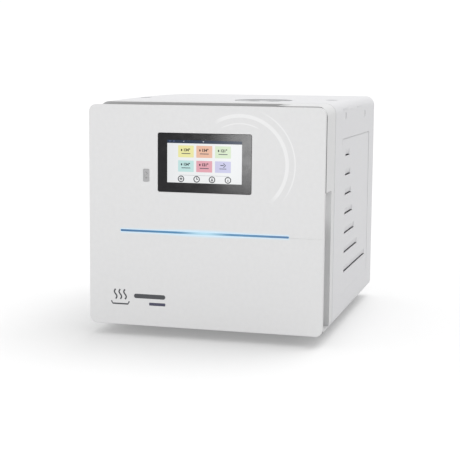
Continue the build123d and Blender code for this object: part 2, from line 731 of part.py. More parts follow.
def relay_board():
    """Upright board in the left side, with relays, held on the shelf's underside."""
    x = -222.0
    plate = block(x, x + 1.6, 30, 170, 200, shelf_z - 8)
    for row in range(4):
        y = 42 + row * 32
        plate += block(x + 1, x + 19, y, y + 24, 230, 262)
    for y in (50, 150):
        plate += block(x, x + 12, y - 6, y + 6, shelf_z - 10, shelf_z)
    return plate


keep("control_board", board(-60, 150, 150, 262, shelf_top_z + 10,
                            [(-50, 160, 40, 20, 9), (10, 170, 34, 34, 3), (60, 160, 22, 60, 14),
                             (100, 165, 38, 14, 11), (100, 200, 30, 40, 20), (-45, 205, 28, 34, 16)]))
keep("power_supply", power_supply())
keep("relay_board", relay_board())

# ---------------------------------------------------------------- sensors on the dished end
def dish_surface_y(x, z):
    """Depth of the dished end's outer face at a place."""
    return chamber_end_y + cap_rise(sqrt(x ** 2 + (z - chamber_z) ** 2), chamber_outer_r)


def screwed_sensor(place, tip_y, body_length, cap_r):
    """Sensor with a hexagon seat on the dished end and a stem through it."""
    x, z = place
    seat = dish_surface_y(x, z) + 4
    sensor = hex_y(14, seat, seat + 6, x, z) + rod_y(cap_r, seat + 5, seat + 5 + body_length, x, z)
    return sensor + rod_y(2.5, tip_y, seat + 1, x, z)


keep("chamber_sensors", group([screwed_sensor(probe_place, chamber_end_y - 14, 9, 4),
                               screwed_sensor(sensor_place, chamber_end_y + 8, 14, 9)]))

# ---------------------------------------------------------------- rear fittings
socket_half_x, socket_half_z = 12.5, 8.5


def mains_inlet():
    """Panel inlet for a removable mains lead: flange, socket pocket and three flat pins."""
    y_out = rear_panel_y + 2.5
    half_x, half_z = inlet_size_x / 2, inlet_size_z / 2
    body = block(inlet_x - half_x + 4, inlet_x + half_x - 4, rear_panel_y - 24, rear_panel_y,
                 inlet_z - half_z + 2, inlet_z + half_z - 2)
    body += block(inlet_x - half_x, inlet_x + half_x, rear_panel_y, y_out, inlet_z - half_z, inlet_z + half_z)
    body -= block(inlet_x - socket_half_x, inlet_x + socket_half_x, rear_panel_y - 16, y_out + 1,
                  inlet_z - socket_half_z, inlet_z + socket_half_z)
    pins = []
    for dx, dz in ((-7, -2), (0, 3), (7, -2)):
        x, z = inlet_x + dx, inlet_z + dz
        pins.append(block(x - 1, x + 1, rear_panel_y - 16, rear_panel_y - 1, z - 2, z + 2))
    return group([body] + pins)


rocker_pivot_y = rear_panel_y - 2.0
rocker_tilt = 8.0


def switch_frame():
    """Snap-in frame of the mains switch."""
    frame = block(switch_x - switch_half_x, switch_x + switch_half_x, rear_panel_y - 20, rear_panel_y + 1,
                  switch_z - switch_half_z, switch_z + switch_half_z)
    frame += slab_y(2 * switch_half_x + 4, 2 * switch_half_z + 4, 2, rear_panel_y, rear_panel_y + 2,
                    switch_x, switch_z)
    frame -= block(switch_x - switch_half_x + 2, switch_x + switch_half_x - 2, rear_panel_y - 10,
                   rear_panel_y + 3, switch_z - 12, switch_z + 12)
    return frame - rod_x(1.2 + pin_fit, switch_x - 8.2, switch_x + 8.2, rocker_pivot_y, switch_z)


def power_rocker():
    """Rocker with a hollowed face, tipped to the off side, on a short pivot."""
    half = 10.2
    face = 7.0
    outline = make_face([
        Line((-4, -half + 2), (face, -half)),
        ThreePointArc((face, -half), (face - 1.8, 0), (face, half)),
        Line((face, half), (-4, half - 2)),
        Line((-4, half - 2), (-4, -half + 2)),
    ])
    rocker = extrude(Plane.YZ * outline, switch_half_x - 2 - slide_fit, both=True)
    rocker += rod_x(1.2, -8, 8, 0, 0)
    return Pos(switch_x, rocker_pivot_y, switch_z) * Rot(rocker_tilt, 0, 0) * rocker


def fuse_holder(x):
    cap = rod_y(8, rear_panel_y, rear_panel_y + 8, x, fuse_z)
    cap -= block(x - 6, x + 6, rear_panel_y + 6.5, rear_panel_y + 9, fuse_z - 0.8, fuse_z + 0.8)
    return cap + rod_y(6, rear_panel_y - 26, rear_panel_y + 1, x, fuse_z)


def drain_spout(x):
    """Hose spout with barbs, inside the depth of the cover's rear edge."""
    body = hex_y(15, rear_panel_y, rear_panel_y + 3, x, spout_z)
    body += rod_y(6, rear_panel_y - 14, rear_panel_y + 1, x, spout_z)
    body += rod_y(3.5, rear_panel_y + 2, rear_y - 0.5, x, spout_z)
    for y in (rear_panel_y + 5, rear_panel_y + 8.5):
        body += Pos(x, y + 1, spout_z) * Rot(-90, 0, 0) * Cone(4.6, 3.5, 2.4)
    return body - rod_y(2.2, rear_panel_y - 15, rear_y, x, spout_z)


valve_stem_r = 4.0


def safety_valve_body():
    body = rod_y(8, rear_panel_y - 30, rear_panel_y + 1, valve_x, valve_z)
    body += hex_y(22, rear_panel_y, rear_panel_y + 3, valve_x, valve_z)
    body += hex_y(20, rear_panel_y - 30, rear_panel_y - 12, valve_x, valve_z)
    return body + rod_y(valve_stem_r, rear_panel_y + 2, rear_panel_y + 9, valve_x, valve_z)


def safety_valve_knob():
    """Knurled test knob on the valve's stem."""
    y0, y1 = rear_panel_y + 3.5, rear_y - 0.8
    knob = rod_y(11, y0, y1, valve_x, valve_z)
    for turn in range(18):
        angle = radians(20 * turn)
        knob -= rod_y(1.1, y0 - 1, y1 + 1, valve_x + 11 * cos(angle), valve_z + 11 * sin(angle))
    return knob - rod_y(valve_stem_r + pin_fit, y0 - 1, rear_panel_y + 9.3, valve_x, valve_z)


def reset_thermostat():
    """Safety thermostat with a collar for its reset button."""
    body = rod_y(11, rear_panel_in_y - 16, rear_panel_in_y, reset_x, reset_z)
    body += rod_y(5, rear_panel_in_y - 1, rear_panel_y + 4, reset_x, reset_z)
    return body - rod_y(3 + slide_fit, rear_panel_in_y - 8, rear_panel_y + 5, reset_x, reset_z)


keep("mains_inlet", mains_inlet())
keep("switch_frame", switch_frame())
keep("power_rocker", power_rocker())
keep("fuse_holders", group([fuse_holder(x) for x in fuse_x]))
keep("drain_spouts", group([drain_spout(x) for x in spout_x]))
keep("safety_valve_body", safety_valve_body())
keep("safety_valve_knob", safety_valve_knob())
keep("safety_thermostat", reset_thermostat())
keep("reset_button", rod_y(3, rear_panel_in_y - 5, rear_panel_y + 6.5, reset_x, reset_z))

# ---------------------------------------------------------------- cover screws
rear_screws = [cover_screw(side * (half_w - 26), rear_panel_y + 1.1, z, Rot(-90, 0, 0))
               for side in (-1, 1) for z in (60, 200, 340)]
for side in (-1, 1):
    for z in (60, 200, 340):
        nodes["rear_panel"] -= rod_y(2.1, rear_panel_in_y - 1, rear_panel_y + 1, side * (half_w - 26), z)
well_screws = [cover_screw(side * well_x, well_y, crown_z(well_y) - well_depth + 1.1, Rot(0, 0, 0))
               for side in (-1, 1)]
for side in (-1, 1):
    nodes["outer_cover"] -= rod_z(2.1, crown_z(well_y) - well_depth - 5, crown_z(well_y), side * well_x, well_y)
keep("cover_screws", group(rear_screws + well_screws))

# ---------------------------------------------------------------- door
hinge_r = 7.0                            # knuckle, and the door's rounded rear edge
hinge_x = -half_w + hinge_r
hinge_y = door_rear_y - hinge_r
hinge_pin_r = 4.0
hinge_zs = (chamber_z - 70.0, chamber_z + 150.0)
knuckle_half = 20.0
ear_height = 12.0
hinge_pocket_r = 10.5

frame_y0, frame_y1 = door_rear_y - 30.0, door_rear_y - 10.0
bridge_half_z = 35.0
left_post_x0, left_post_x1 = -222.0, -205.0
right_post_x0, right_post_x1 = 196.0, 214.0

plate_r = collar_r + 1.0
plate_y0, plate_y1 = door_rear_y - 8.0, door_rear_y - 0.2
gasket_in_r, gasket_out_r = chamber_bore_r + 2.5, chamber_bore_r + 11.5
gasket_groove = 5.0
gasket_gap = 0.4

grip_x = half_w - 22.0                   # inner wall of the hand recess
grip_y = front_y + 63.0                  # its rear wall
grip_z0, grip_z1 = floor_z + 10.0, floor_z + 279.0
channel_depth = 16.0                     # open channel along the top edge
channel_end_x = 145.0

glass_w, glass_h, glass_thick = 190.0, 116.0, 3.0
glass_z = floor_z + 329.4
lcd_w, lcd_h = 165.0, 104.0
usb_x, usb_z = -119.0, floor_z + 302.8
usb_w, usb_h = 12.6, 24.9
bar_z = floor_z + 191.6
bar_x0, bar_x1 = -172.6, 170.2
bar_h = 3.6
seam_z, seam_w, seam_depth = floor_z + 190.5, 0.9, 0.5    # fine joint line from the bar to the edge
boss_z = (chamber_z - 90.0, chamber_z + 120.0)


def door_front_panel():
    """Flat moulded face with openings for glass, light bar and socket."""
    mid_z = floor_z + panel_height / 2
    panel = slab_y(width - 2 * panel_inset, panel_height, panel_corner_r, front_y, panel_rear_y, 0, mid_z)
    panel = fillet(panel.faces().sort_by(Axis.Y)[0].outer_wire().edges(), 1.6)
    panel -= slab_y(glass_w + 2 * fit, glass_h + 2 * fit, 4, front_y - 1, panel_rear_y + 1, 0, glass_z)
    panel -= slab_y(usb_w + 2 * fit, usb_h + 2 * fit, 2.5, front_y - 1, panel_rear_y + 1, usb_x, usb_z)
    panel -= slab_y(bar_x1 - bar_x0 + 2 * fit, bar_h + 2 * fit, bar_h / 2, front_y - 1, panel_rear_y + 1,
                    (bar_x0 + bar_x1) / 2, bar_z)
    panel -= block(bar_x1 + 2, half_w + 1, front_y - 1, front_y + seam_depth, seam_z - seam_w / 2,
                   seam_z + seam_w / 2)
    ledge = slab_y(glass_w + 24, glass_h + 24, 8, panel_rear_y, panel_rear_y + 3, 0, glass_z)
    ledge -= slab_y(lcd_w + 2 * fit, lcd_h + 2 * fit, 3, panel_rear_y - 1, panel_rear_y + 4, 0, glass_z)
    return panel + ledge


def panel_posts():
    """Four stand-offs between the front panel and the door's frame."""
    return group([rod_y(5, panel_rear_y, frame_y0, x, z) for z in boss_z
                  for x in ((left_post_x0 + left_post_x1) / 2, (right_post_x0 + right_post_x1) / 2)])


def grip_block(grow=0.0):
    """Space of the hand recess, or of its walls when grown."""
    return block(grip_x - grow, half_w + 5, housing_y - 2, grip_y + grow, grip_z0 - grow, grip_z1 + grow)


def channel_block(grow=0.0):
    """Space of the channel along the top, with a slanted right end."""
    low = crown_z(housing_y) - channel_depth - grow
    high = crown_peak_z + 20
    outline = Polyline((-half_w - 5, low), (channel_end_x - channel_depth + grow, low),
                       (channel_end_x + 24 + grow, high), (-half_w - 5, high), close=True)
    plane = Plane(origin=(0, grip_y + grow, 0), x_dir=(1, 0, 0), z_dir=(0, -1, 0))
    return extrude(plane * make_face(outline), grip_y + grow - housing_y + 2)


def hinge_pockets(radius):
    """Round pockets in the door's rear left edge, where the hinge arms stand."""
    reach = knuckle_half + ear_height + 1.0
    return [rod_z(radius, z - reach, z + reach, hinge_x, hinge_y) for z in hinge_zs]


def door_housing():
    """Moulded shell of the door behind its front panel."""
    outer = case_block(housing_y, door_rear_y)
    cavity = case_block(housing_y - 1, door_rear_y - housing_wall, housing_wall)
    cavity -= grip_block(housing_wall)
    cavity -= channel_block(housing_wall)
    shell = outer - cavity - grip_block() - channel_block()
    shell -= rod_y(plate_r + 3, door_rear_y - 10, door_rear_y + 1, 0, chamber_z)
    edge = block(-half_w - 1, hinge_x, hinge_y, door_rear_y + 1, 0, crown_peak_z + 5)
    shell -= edge - rod_z(hinge_r, -1, crown_peak_z + 6, hinge_x, hinge_y)
    for z in tongue_z:
        shell -= slab_y(tongue_x1 - tongue_x0 + 1, tongue_thick + 1, 1, door_rear_y - housing_wall - 1,
                        door_rear_y + 1, (tongue_x0 + tongue_x1) / 2, z)
    for x in ((left_post_x0 + left_post_x1) / 2, (right_post_x0 + right_post_x1) / 2):
        for z in boss_z:
            shell += rod_y(6, frame_y1, door_rear_y - 1, x, z)
    for pocket in hinge_pockets(hinge_pocket_r):
        shell -= pocket
    return shell


def panel_seal():
    """Thin rubber frame between front panel and housing, open at the recess and the channel."""
    ring = case_block(panel_rear_y, housing_y, 0.2)
    ring -= case_block(panel_rear_y - 1, housing_y + 1, seal_w)
    ring &= block(-half_w, half_w, panel_rear_y, housing_y, 0, panel_top_z + seal_show)
    return group([ring - grip_block() - channel_block()])


def door_frame():
    """Welded steel frame: cross bridge, two posts and the hinge ears."""
    low_z, high_z = chamber_z - 110.0, hinge_zs[1] + knuckle_half + ear_height + 4
    frame = block(left_post_x0, right_post_x1, frame_y0, frame_y1, chamber_z - bridge_half_z,
                  chamber_z + bridge_half_z)
    frame += block(left_post_x0, left_post_x1, frame_y0, frame_y1, low_z, high_z)
    frame += block(right_post_x0, right_post_x1, frame_y0, frame_y1, low_z, chamber_z + 140)
    frame -= rod_y(12 + fit, frame_y0 - 1, frame_y1 + 1, 0, chamber_z)
    for z in hinge_zs:
        for side in (-1, 1):
            z0, z1 = sorted((z + side * (knuckle_half + 0.5), z + side * (knuckle_half + ear_height)))
            ear = rod_z(hinge_r - 0.4, z0, z1, hinge_x, hinge_y)
            ear += block(hinge_x, left_post_x0 + 1, frame_y0 + 6, hinge_y + 2, z0, z1)
            frame += ear - rod_z(hinge_pin_r, z0 - 1, z1 + 1, hinge_x, hinge_y)
    return frame


def hinge_bracket(z):
    """Knuckle on an arm, with a flange screwed to the bulkhead."""
    z0, z1 = z - knuckle_half, z + knuckle_half
    arm_x0 = -half_w + inner_gap
    arm = block(arm_x0, hinge_x + hinge_r, hinge_y, bulkhead_y, z0, z1)
    flange_plate = block(arm_x0, arm_x0 + 34, bulkhead_y - 3.2, bulkhead_y, z0, z1)
    bracket = rod_z(hinge_r, z0, z1, hinge_x, hinge_y) + arm + flange_plate
    return bracket - rod_z(hinge_pin_r + pin_fit, z0 - 1, z1 + 1, hinge_x, hinge_y)


def hinge_pin(z):
    reach = knuckle_half + ear_height
    return rod_z(hinge_pin_r, z - reach, z + reach, hinge_x, hinge_y)


def tongue(z):
    """Steel striker that enters the cabinet; the lock pin stands in its notch."""
    bar = block(tongue_x0, tongue_x1, frame_y1, lock_y + 6, z - tongue_thick / 2, z + tongue_thick / 2)
    foot_plate = block(tongue_x0 - 4, right_post_x1, frame_y1, frame_y1 + 4, z - 10, z + 10)
    notch_half = lock_pin_r + slide_fit
    notch = block(tongue_x0 - 1, lock_pin_x + notch_half, lock_y - notch_half, lock_y + notch_half, z - 9, z + 9)
    return bar + foot_plate - notch


lock_y = bulkhead_rear_y + 8.0
lock_pin_x = 208.0
lock_pin_r = 4.0
lock_travel = 12.0
lock_bar_x0, lock_bar_x1 = 184.0, 192.0
lock_bar_y0, lock_bar_y1 = lock_y - 4.0, lock_y + 4.0
lock_low_z, lock_high_z = 64.0, tongue_z[1] - 10.0
solenoid_z1 = lock_low_z - 4.0


def lock_bar():
    """Sliding bar with a pin under each striker and the solenoid's plunger below."""
    bar = block(lock_bar_x0, lock_bar_x1, lock_bar_y0, lock_bar_y1, lock_low_z, lock_high_z)
    for z in tongue_z:
        shelf_top = z - tongue_thick / 2 - lock_travel - 3.0
        bar += block(lock_bar_x1 - 1, lock_pin_x + 5, lock_bar_y0 + 0.5, lock_bar_y1 - 0.5,
                     shelf_top - 4, shelf_top)
        bar += rod_z(lock_pin_r, shelf_top - 1, z - tongue_thick / 2 - 1.0, lock_pin_x, lock_y)
    mid_x = (lock_bar_x0 + lock_bar_x1) / 2
    return bar + rod_z(3.9, solenoid_z1 - 18, lock_low_z + 1, mid_x, lock_y)


def lock_guide(z):
    """Guide bridge screwed to the bulkhead."""
    bridge = block(lock_bar_x0 - 4, lock_bar_x1 + 4, bulkhead_rear_y, lock_bar_y1 + 3.5, z, z + 10)
    return bridge - block(lock_bar_x0 - slide_fit, lock_bar_x1 + slide_fit, lock_bar_y0 - slide_fit,
                          lock_bar_y1 + slide_fit, z - 1, z + 11)


def lock_solenoid():
    mid_x = (lock_bar_x0 + lock_bar_x1) / 2
    coil = slab_z(28, 22, 3, base_top_z + 3, solenoid_z1, mid_x, bulkhead_rear_y + 3 + 11)
    plate = block(mid_x - 14, mid_x + 14, bulkhead_rear_y + sheet + fit, bulkhead_rear_y + 25, base_top_z,
                  base_top_z + 4)
    return coil + plate - rod_z(3.9 + slide_fit, solenoid_z1 - 22, solenoid_z1 + 1, mid_x, lock_y)


def door_plate():
    """Round stainless closing plate with a gasket groove, a shallow dish and its spindle."""
    plate = rod_y(plate_r, plate_y0, plate_y1, 0, chamber_z)
    plate -= ring_y(gasket_out_r + fit, gasket_in_r - fit, plate_y1 - gasket_groove, plate_y1 + 1, 0, chamber_z)
    plate -= rod_y(104, plate_y1 - 2.5, plate_y1 + 1, 0, chamber_z)
    return plate + rod_y(12, frame_y0 - 8, plate_y0 + 1, 0, chamber_z)


def display_module():
    """Screen panel behind the glass, with its driver board and connectors."""
    y0 = front_y + glass_thick + fit
    module = slab_y(lcd_w, lcd_h, 3, y0, y0 + 8, 0, glass_z)
    module += block(-lcd_w / 2 - 8, lcd_w / 2 + 8, panel_rear_y + 3, panel_rear_y + 5,
                    glass_z - lcd_h / 2 - 6, glass_z + lcd_h / 2 + 6)
    module += block(-40, 20, panel_rear_y + 4, panel_rear_y + 12, glass_z - 30, glass_z + 10)
    return module + block(40, 62, panel_rear_y + 4, panel_rear_y + 10, glass_z - 40, glass_z + 20)


def usb_socket():
    """Data socket, upright, with its tongue."""
    body = slab_y(usb_w, usb_h, 2.2, front_y, front_y + 20, usb_x, usb_z)
    body -= block(usb_x - 2.4, usb_x + 2.4, front_y - 1, front_y + 13, usb_z - 6.2, usb_z + 6.2)
    body += block(usb_x - 1.9, usb_x - 0.7, front_y + 2, front_y + 14, usb_z - 5.2, usb_z + 5.2)
    flange_back = slab_y(usb_w + 8, usb_h + 8, 2, panel_rear_y, panel_rear_y + 2, usb_x, usb_z)
    return body + flange_back


def light_bar():
    """Light guide that shows as a thin line, with its strip of lamps behind."""
    mid_x = (bar_x0 + bar_x1) / 2
    guide = slab_y(bar_x1 - bar_x0, bar_h, bar_h / 2 - 0.05, front_y + 0.2, panel_rear_y + 1, mid_x, bar_z)
    return guide + slab_y(bar_x1 - bar_x0 + 10, 12, 2, panel_rear_y, panel_rear_y + 4, mid_x, bar_z)


keep("door_front_panel", door_front_panel())
keep("panel_posts", panel_posts())
keep("panel_seal", panel_seal())
keep("door_housing", door_housing())
keep("door_frame", door_frame())
keep("door_strikers", group([tongue(z) for z in tongue_z]))
keep("hinge_pins", group([hinge_pin(z) for z in hinge_zs]))
keep("hinge_brackets", group([hinge_bracket(z) for z in hinge_zs]))
keep("lock_bar", lock_bar())
keep("lock_guides", group([lock_guide(z) for z in (82, 158)]))
keep("lock_solenoid", lock_solenoid())
keep("door_plate", door_plate())
keep("door_gasket", ring_y(gasket_out_r, gasket_in_r, plate_y1 - gasket_groove, cabinet_y - gasket_gap,
                           0, chamber_z))
keep("spindle_nut", hex_y(36, frame_y0 - 8, frame_y0, 0, chamber_z) - rod_y(12.1, frame_y0 - 9, frame_y0 + 1,
                                                                           0, chamber_z))
keep("display_glass", slab_y(glass_w, glass_h, 3.7, front_y, front_y + glass_thick, 0, glass_z))
keep("display_module", display_module())
keep("usb_socket", usb_socket())
keep("light_bar", light_bar())

# ---------------------------------------------------------------- write the sub-parts
for name, shape in nodes.items():
    export_step(shape, f"parts/{name}.step")
print(len(nodes), "nodes")
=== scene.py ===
# %% [markdown]
# # A benchtop steam sterilizer, dressed for its portrait
# The machine is a white cabinet with a thick door, a dark touch screen and a blue line of light.
# Its sheet-metal and moulded parts already come as exact solids, so they are kept as they are
# and given their finishes here. What a solid modeller leaves plain, the screen's picture, the
# cover glass with its ground edge, the soft lip of the gasket, is made below as thin surfaces
# worked out with numpy.

# %% Load the frame
import json
import math

import bpy
import numpy as np
from mathutils import Matrix, Vector


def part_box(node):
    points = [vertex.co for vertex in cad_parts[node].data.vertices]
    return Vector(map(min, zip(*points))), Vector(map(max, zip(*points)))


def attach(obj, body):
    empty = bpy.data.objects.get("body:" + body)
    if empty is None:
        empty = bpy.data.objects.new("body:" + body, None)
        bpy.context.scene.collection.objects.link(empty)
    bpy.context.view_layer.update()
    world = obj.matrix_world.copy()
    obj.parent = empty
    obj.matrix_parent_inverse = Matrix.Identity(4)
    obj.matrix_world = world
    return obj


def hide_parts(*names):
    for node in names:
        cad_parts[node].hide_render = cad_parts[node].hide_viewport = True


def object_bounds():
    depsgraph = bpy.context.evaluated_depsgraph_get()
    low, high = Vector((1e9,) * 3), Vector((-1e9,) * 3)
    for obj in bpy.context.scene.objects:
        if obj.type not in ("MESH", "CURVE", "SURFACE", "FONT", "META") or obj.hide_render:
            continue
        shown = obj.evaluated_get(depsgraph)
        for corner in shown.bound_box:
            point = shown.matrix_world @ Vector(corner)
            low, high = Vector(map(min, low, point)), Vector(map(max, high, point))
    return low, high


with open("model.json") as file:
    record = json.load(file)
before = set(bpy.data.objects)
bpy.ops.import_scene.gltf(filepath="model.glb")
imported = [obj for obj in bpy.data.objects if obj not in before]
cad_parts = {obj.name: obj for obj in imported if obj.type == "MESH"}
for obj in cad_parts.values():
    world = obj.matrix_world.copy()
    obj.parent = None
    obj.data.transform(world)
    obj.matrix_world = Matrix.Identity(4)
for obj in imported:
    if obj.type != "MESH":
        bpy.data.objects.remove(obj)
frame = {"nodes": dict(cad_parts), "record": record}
cad_low, cad_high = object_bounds()
mm = 0.001
print("nodes:", len(frame["nodes"]), "box:", [round(v, 4) for v in (*cad_low, *cad_high)])

# %% [markdown]
# ## Where the camera stands
# A long lens from the right of the door's middle, a little above the lid and tipped down,
# keeps the upright edges nearly parallel. The three turns are applied one after the other:
# roll about the line of sight, then the tip, then the swing about the upright.

# %% Camera
camera_place = Vector((0.6604, -2.5457, 0.5314))
swing, tip, roll = (math.radians(a) for a in (15.32, 7.15, 2.46))
focal_mm = 94.43


def turn(axis, angle):
    """Rotation matrix about one axis of a camera that looks along +Z with Y down."""
    return np.array(Matrix.Rotation(angle, 3, axis))


look = turn("Y", swing) @ turn("X", tip) @ turn("Z", roll)
look = look @ np.array([[1, 0, 0], [0, 0, -1], [0, 1, 0]])
right, down, ahead = look
camera = bpy.data.objects.new("camera", bpy.data.cameras.new("camera"))
camera.data.lens = focal_mm
camera.data.sensor_width = 36
camera.data.clip_end = 100
pose = Matrix([[right[i], -down[i], -ahead[i], camera_place[i]] for i in range(3)] + [[0, 0, 0, 1]])
camera.matrix_world = pose
bpy.context.scene.collection.objects.link(camera)
bpy.context.scene.camera = camera
bpy.context.scene.view_settings.view_transform = "Standard"
print("camera looks along", [round(v, 3) for v in ahead])

# %% [markdown]
# ## Light and floor
# Product pictures of white goods are made in a tent of light: white all round, a large box of
# light overhead and a little behind that lifts the top, and a standing box at the front left.
# Only the dark glass shows that second box, as a soft brightening towards its right side. The
# overhead light is a sun with a wide disc, so that the floor stays evenly white far away. The
# floor is a table top lit from below, which keeps the shadow under the machine soft and light.

# %% World, lamps and floor
world = bpy.data.worlds.new("light_tent")
world.use_nodes = True
world.node_tree.nodes["Background"].inputs["Color"].default_value = (1, 1, 1, 1)
world.node_tree.nodes["Background"].inputs["Strength"].default_value = 1.05
bpy.context.scene.world = world


def light_box(name, place, aim, size_x, size_y, watts):
    """Rectangular soft lamp at a place, turned to face a point."""
    lamp = bpy.data.lights.new(name, "AREA")
    lamp.shape, lamp.size, lamp.size_y, lamp.energy = "RECTANGLE", size_x, size_y, watts
    body = bpy.data.objects.new(name, lamp)
    body.location = place
    body.rotation_euler = (Vector(aim) - Vector(place)).to_track_quat("-Z", "Y").to_euler()
    bpy.context.scene.collection.objects.link(body)
    return body


light_box("front_box", (-0.46, -3.2, 0.33), (0, -0.3, 0.34), 0.56, 0.62, 22)
overhead = bpy.data.objects.new("overhead_light", bpy.data.lights.new("overhead_light", "SUN"))
overhead.data.energy = 1.4
overhead.data.angle = math.radians(42)
overhead.rotation_euler = (math.radians(-22), math.radians(14), 0)
bpy.context.scene.collection.objects.link(overhead)

floor_half = 30.0
floor_mesh = bpy.data.meshes.new("floor")
corners = np.array([[-1, -1, 0], [1, -1, 0], [1, 1, 0], [-1, 1, 0]]) * floor_half
floor_mesh.from_pydata(corners.tolist(), [], [(0, 1, 2, 3)])
floor = bpy.data.objects.new("floor", floor_mesh)
bpy.context.scene.collection.objects.link(floor)
floor_paper = bpy.data.materials.new("floor_paper")
floor_paper.use_nodes = True
paper = floor_paper.node_tree.nodes["Principled BSDF"]
paper.inputs["Base Color"].default_value = (0.58, 0.58, 0.58, 1)
paper.inputs["Emission Color"].default_value = (1, 1, 1, 1)
paper.inputs["Emission Strength"].default_value = 0.2
paper.inputs["Roughness"].default_value = 0.9
paper.inputs["Specular IOR Level"].default_value = 0.1
floor_mesh.materials.append(floor_paper)
print("floor", 2 * floor_half, "m square")

# %% [markdown]
# ## A small kit for finishes
# Every finish is a Principled shader fed by patterns in Object coordinates, so a pattern is
# as large on a screw as on the cover and stays put when a part moves. Three moves are enough
# for most: a grain, a blend of two colours by that grain, and a relief that catches the light.

# %% Finish helpers
def new_finish(name):
    """Empty Principled material; returns the material, its node tree and the shader."""
    material = bpy.data.materials.new(name)
    material.use_nodes = True
    return material, material.node_tree, material.node_tree.nodes["Principled BSDF"]


def put(tree, kind, settings=None, **sockets):
    """Add a node, set its properties and either fill or link its named sockets."""
    node = tree.nodes.new(kind)
    for key, value in (settings or {}).items():
        setattr(node, key, value)
    for key, value in sockets.items():
        socket = node.inputs[key.replace("_", " ")] if not key.startswith("in") else node.inputs[int(key[2:])]
        if isinstance(value, bpy.types.NodeSocket):
            tree.links.new(value, socket)
        else:
            socket.default_value = value
    return node


def place_of(tree, stretch=(1, 1, 1)):
    """Object coordinates, stretched along the axes to draw a grain out."""
    coords = put(tree, "ShaderNodeTexCoord")
    mapping = put(tree, "ShaderNodeMapping", Vector=coords.outputs["Object"], Scale=stretch)
    return mapping.outputs["Vector"]


def grain(tree, per_metre, stretch=(1, 1, 1), detail=3.0):
    """Cloudy noise with so many cells to the metre."""
    noise = put(tree, "ShaderNodeTexNoise", Vector=place_of(tree, stretch), Scale=per_metre, Detail=detail)
    return noise.outputs["Fac"]


def span(tree, fac, low, high, start=0.3, end=0.7):
    """A number that runs from low to high as fac runs from start to end, eased."""
    node = put(tree, "ShaderNodeMapRange", {"interpolation_type": "SMOOTHSTEP"},
               Value=fac, From_Min=start, From_Max=end, To_Min=low, To_Max=high)
    return node.outputs["Result"]


def blend_colours(tree, fac, first, second):
    """Colour between two colours by fac."""
    node = put(tree, "ShaderNodeMix", {"data_type": "RGBA"}, in0=fac, in6=first, in7=second)
    return node.outputs[2]


def sums(tree, operation, *values):
    """One step of arithmetic."""
    return put(tree, "ShaderNodeMath", {"operation": operation},
               **{f"in{i}": v for i, v in enumerate(values)}).outputs[0]


def relief(tree, shader, height, distance, strength=1.0):
    """Raise the surface by a pattern, distance in metres."""
    bump = put(tree, "ShaderNodeBump", Height=height, Distance=distance, Strength=strength)
    tree.links.new(bump.outputs["Normal"], shader.inputs["Normal"])


def shade(rgb, k=1.0):
    return (rgb[0] * k, rgb[1] * k, rgb[2] * k, 1)


def simple_finish(name, rgb, vary, rough, cells, raise_by, metallic=0.0, stretch=(1, 1, 1), **constants):
    """Colour and roughness that wander with a grain, and a relief from a finer one."""
    material, tree, shader = new_finish(name)
    cloud = grain(tree, cells * 0.08, stretch)
    fine = grain(tree, cells, stretch)
    both = sums(tree, "MULTIPLY_ADD", fine, 0.5, sums(tree, "MULTIPLY", cloud, 0.5))
    colour = blend_colours(tree, span(tree, both, 0, 1), shade(rgb, 1 - vary), shade(rgb, 1 + vary))
    tree.links.new(colour, shader.inputs["Base Color"])
    tree.links.new(span(tree, both, rough[0], rough[1]), shader.inputs["Roughness"])
    shader.inputs["Metallic"].default_value = metallic
    for key, value in constants.items():
        shader.inputs[key.replace("_", " ")].default_value = value
    relief(tree, shader, fine, raise_by)
    return material


finishes = {}
print("helpers ready")

# %% [markdown]
# ## Paint, plastics and rubber
# Powder coat is a skin of melted grains: satin, with a faint orange peel about a millimetre
# across. Moulded housings copy the spark-eroded texture of their tool, finer and more matte.
# Rubber is nearly black and scatters most of its light, so only its roughness shows.

# %% Painted and moulded finishes
coats = (              # slot, name, colour, its spread, roughness, grains to the metre, relief
    ("cabinet_paint", "powder_coat", (0.525, 0.525, 0.537), 0.012, (0.42, 0.52), 900, 3e-5),
    ("white_plastic", "moulded_white", (0.545, 0.545, 0.548), 0.010, (0.45, 0.55), 1600, 1.5e-5),
    ("lid_grey", "moulded_grey", (0.42, 0.425, 0.43), 0.02, (0.4, 0.5), 1400, 2e-5),
    ("painted_frame", "frame_paint", (0.075, 0.08, 0.088), 0.08, (0.38, 0.55), 700, 4e-5),
    ("black_plastic", "moulded_black", (0.018, 0.018, 0.02), 0.15, (0.45, 0.62), 1500, 3e-5),
    ("red_plastic", "button_red", (0.52, 0.02, 0.018), 0.05, (0.25, 0.35), 1200, 1e-5),
    ("black_rubber", "foot_rubber", (0.014, 0.014, 0.014), 0.25, (0.7, 0.9), 1100, 6e-5),
    ("socket_grey", "socket_moulding", (0.36, 0.36, 0.37), 0.03, (0.45, 0.55), 1500, 1e-5),
)
for coat in coats:
    finishes[coat[0]] = simple_finish(*coat[1:])
finishes["silicone"] = simple_finish("silicone", (0.66, 0.64, 0.60), 0.03, (0.5, 0.65), 900, 2e-5,
                                     Subsurface_Weight=0.15, Subsurface_Scale=0.004)
finishes["tank_plastic"] = simple_finish("milky_tank", (0.78, 0.80, 0.82), 0.02, (0.28, 0.4), 500, 4e-5,
                                         Subsurface_Weight=0.4, Subsurface_Scale=0.01)
print(len(finishes), "coated and moulded finishes")

# %% [markdown]
# ## Metals
# A brushed sheet is drawn out along one axis, so its noise is squeezed across it. A turned
# part keeps the fine grooves of the tool. Zinc plate shows spangles, the outlines of its
# crystals, for which a Voronoi pattern is the natural choice.

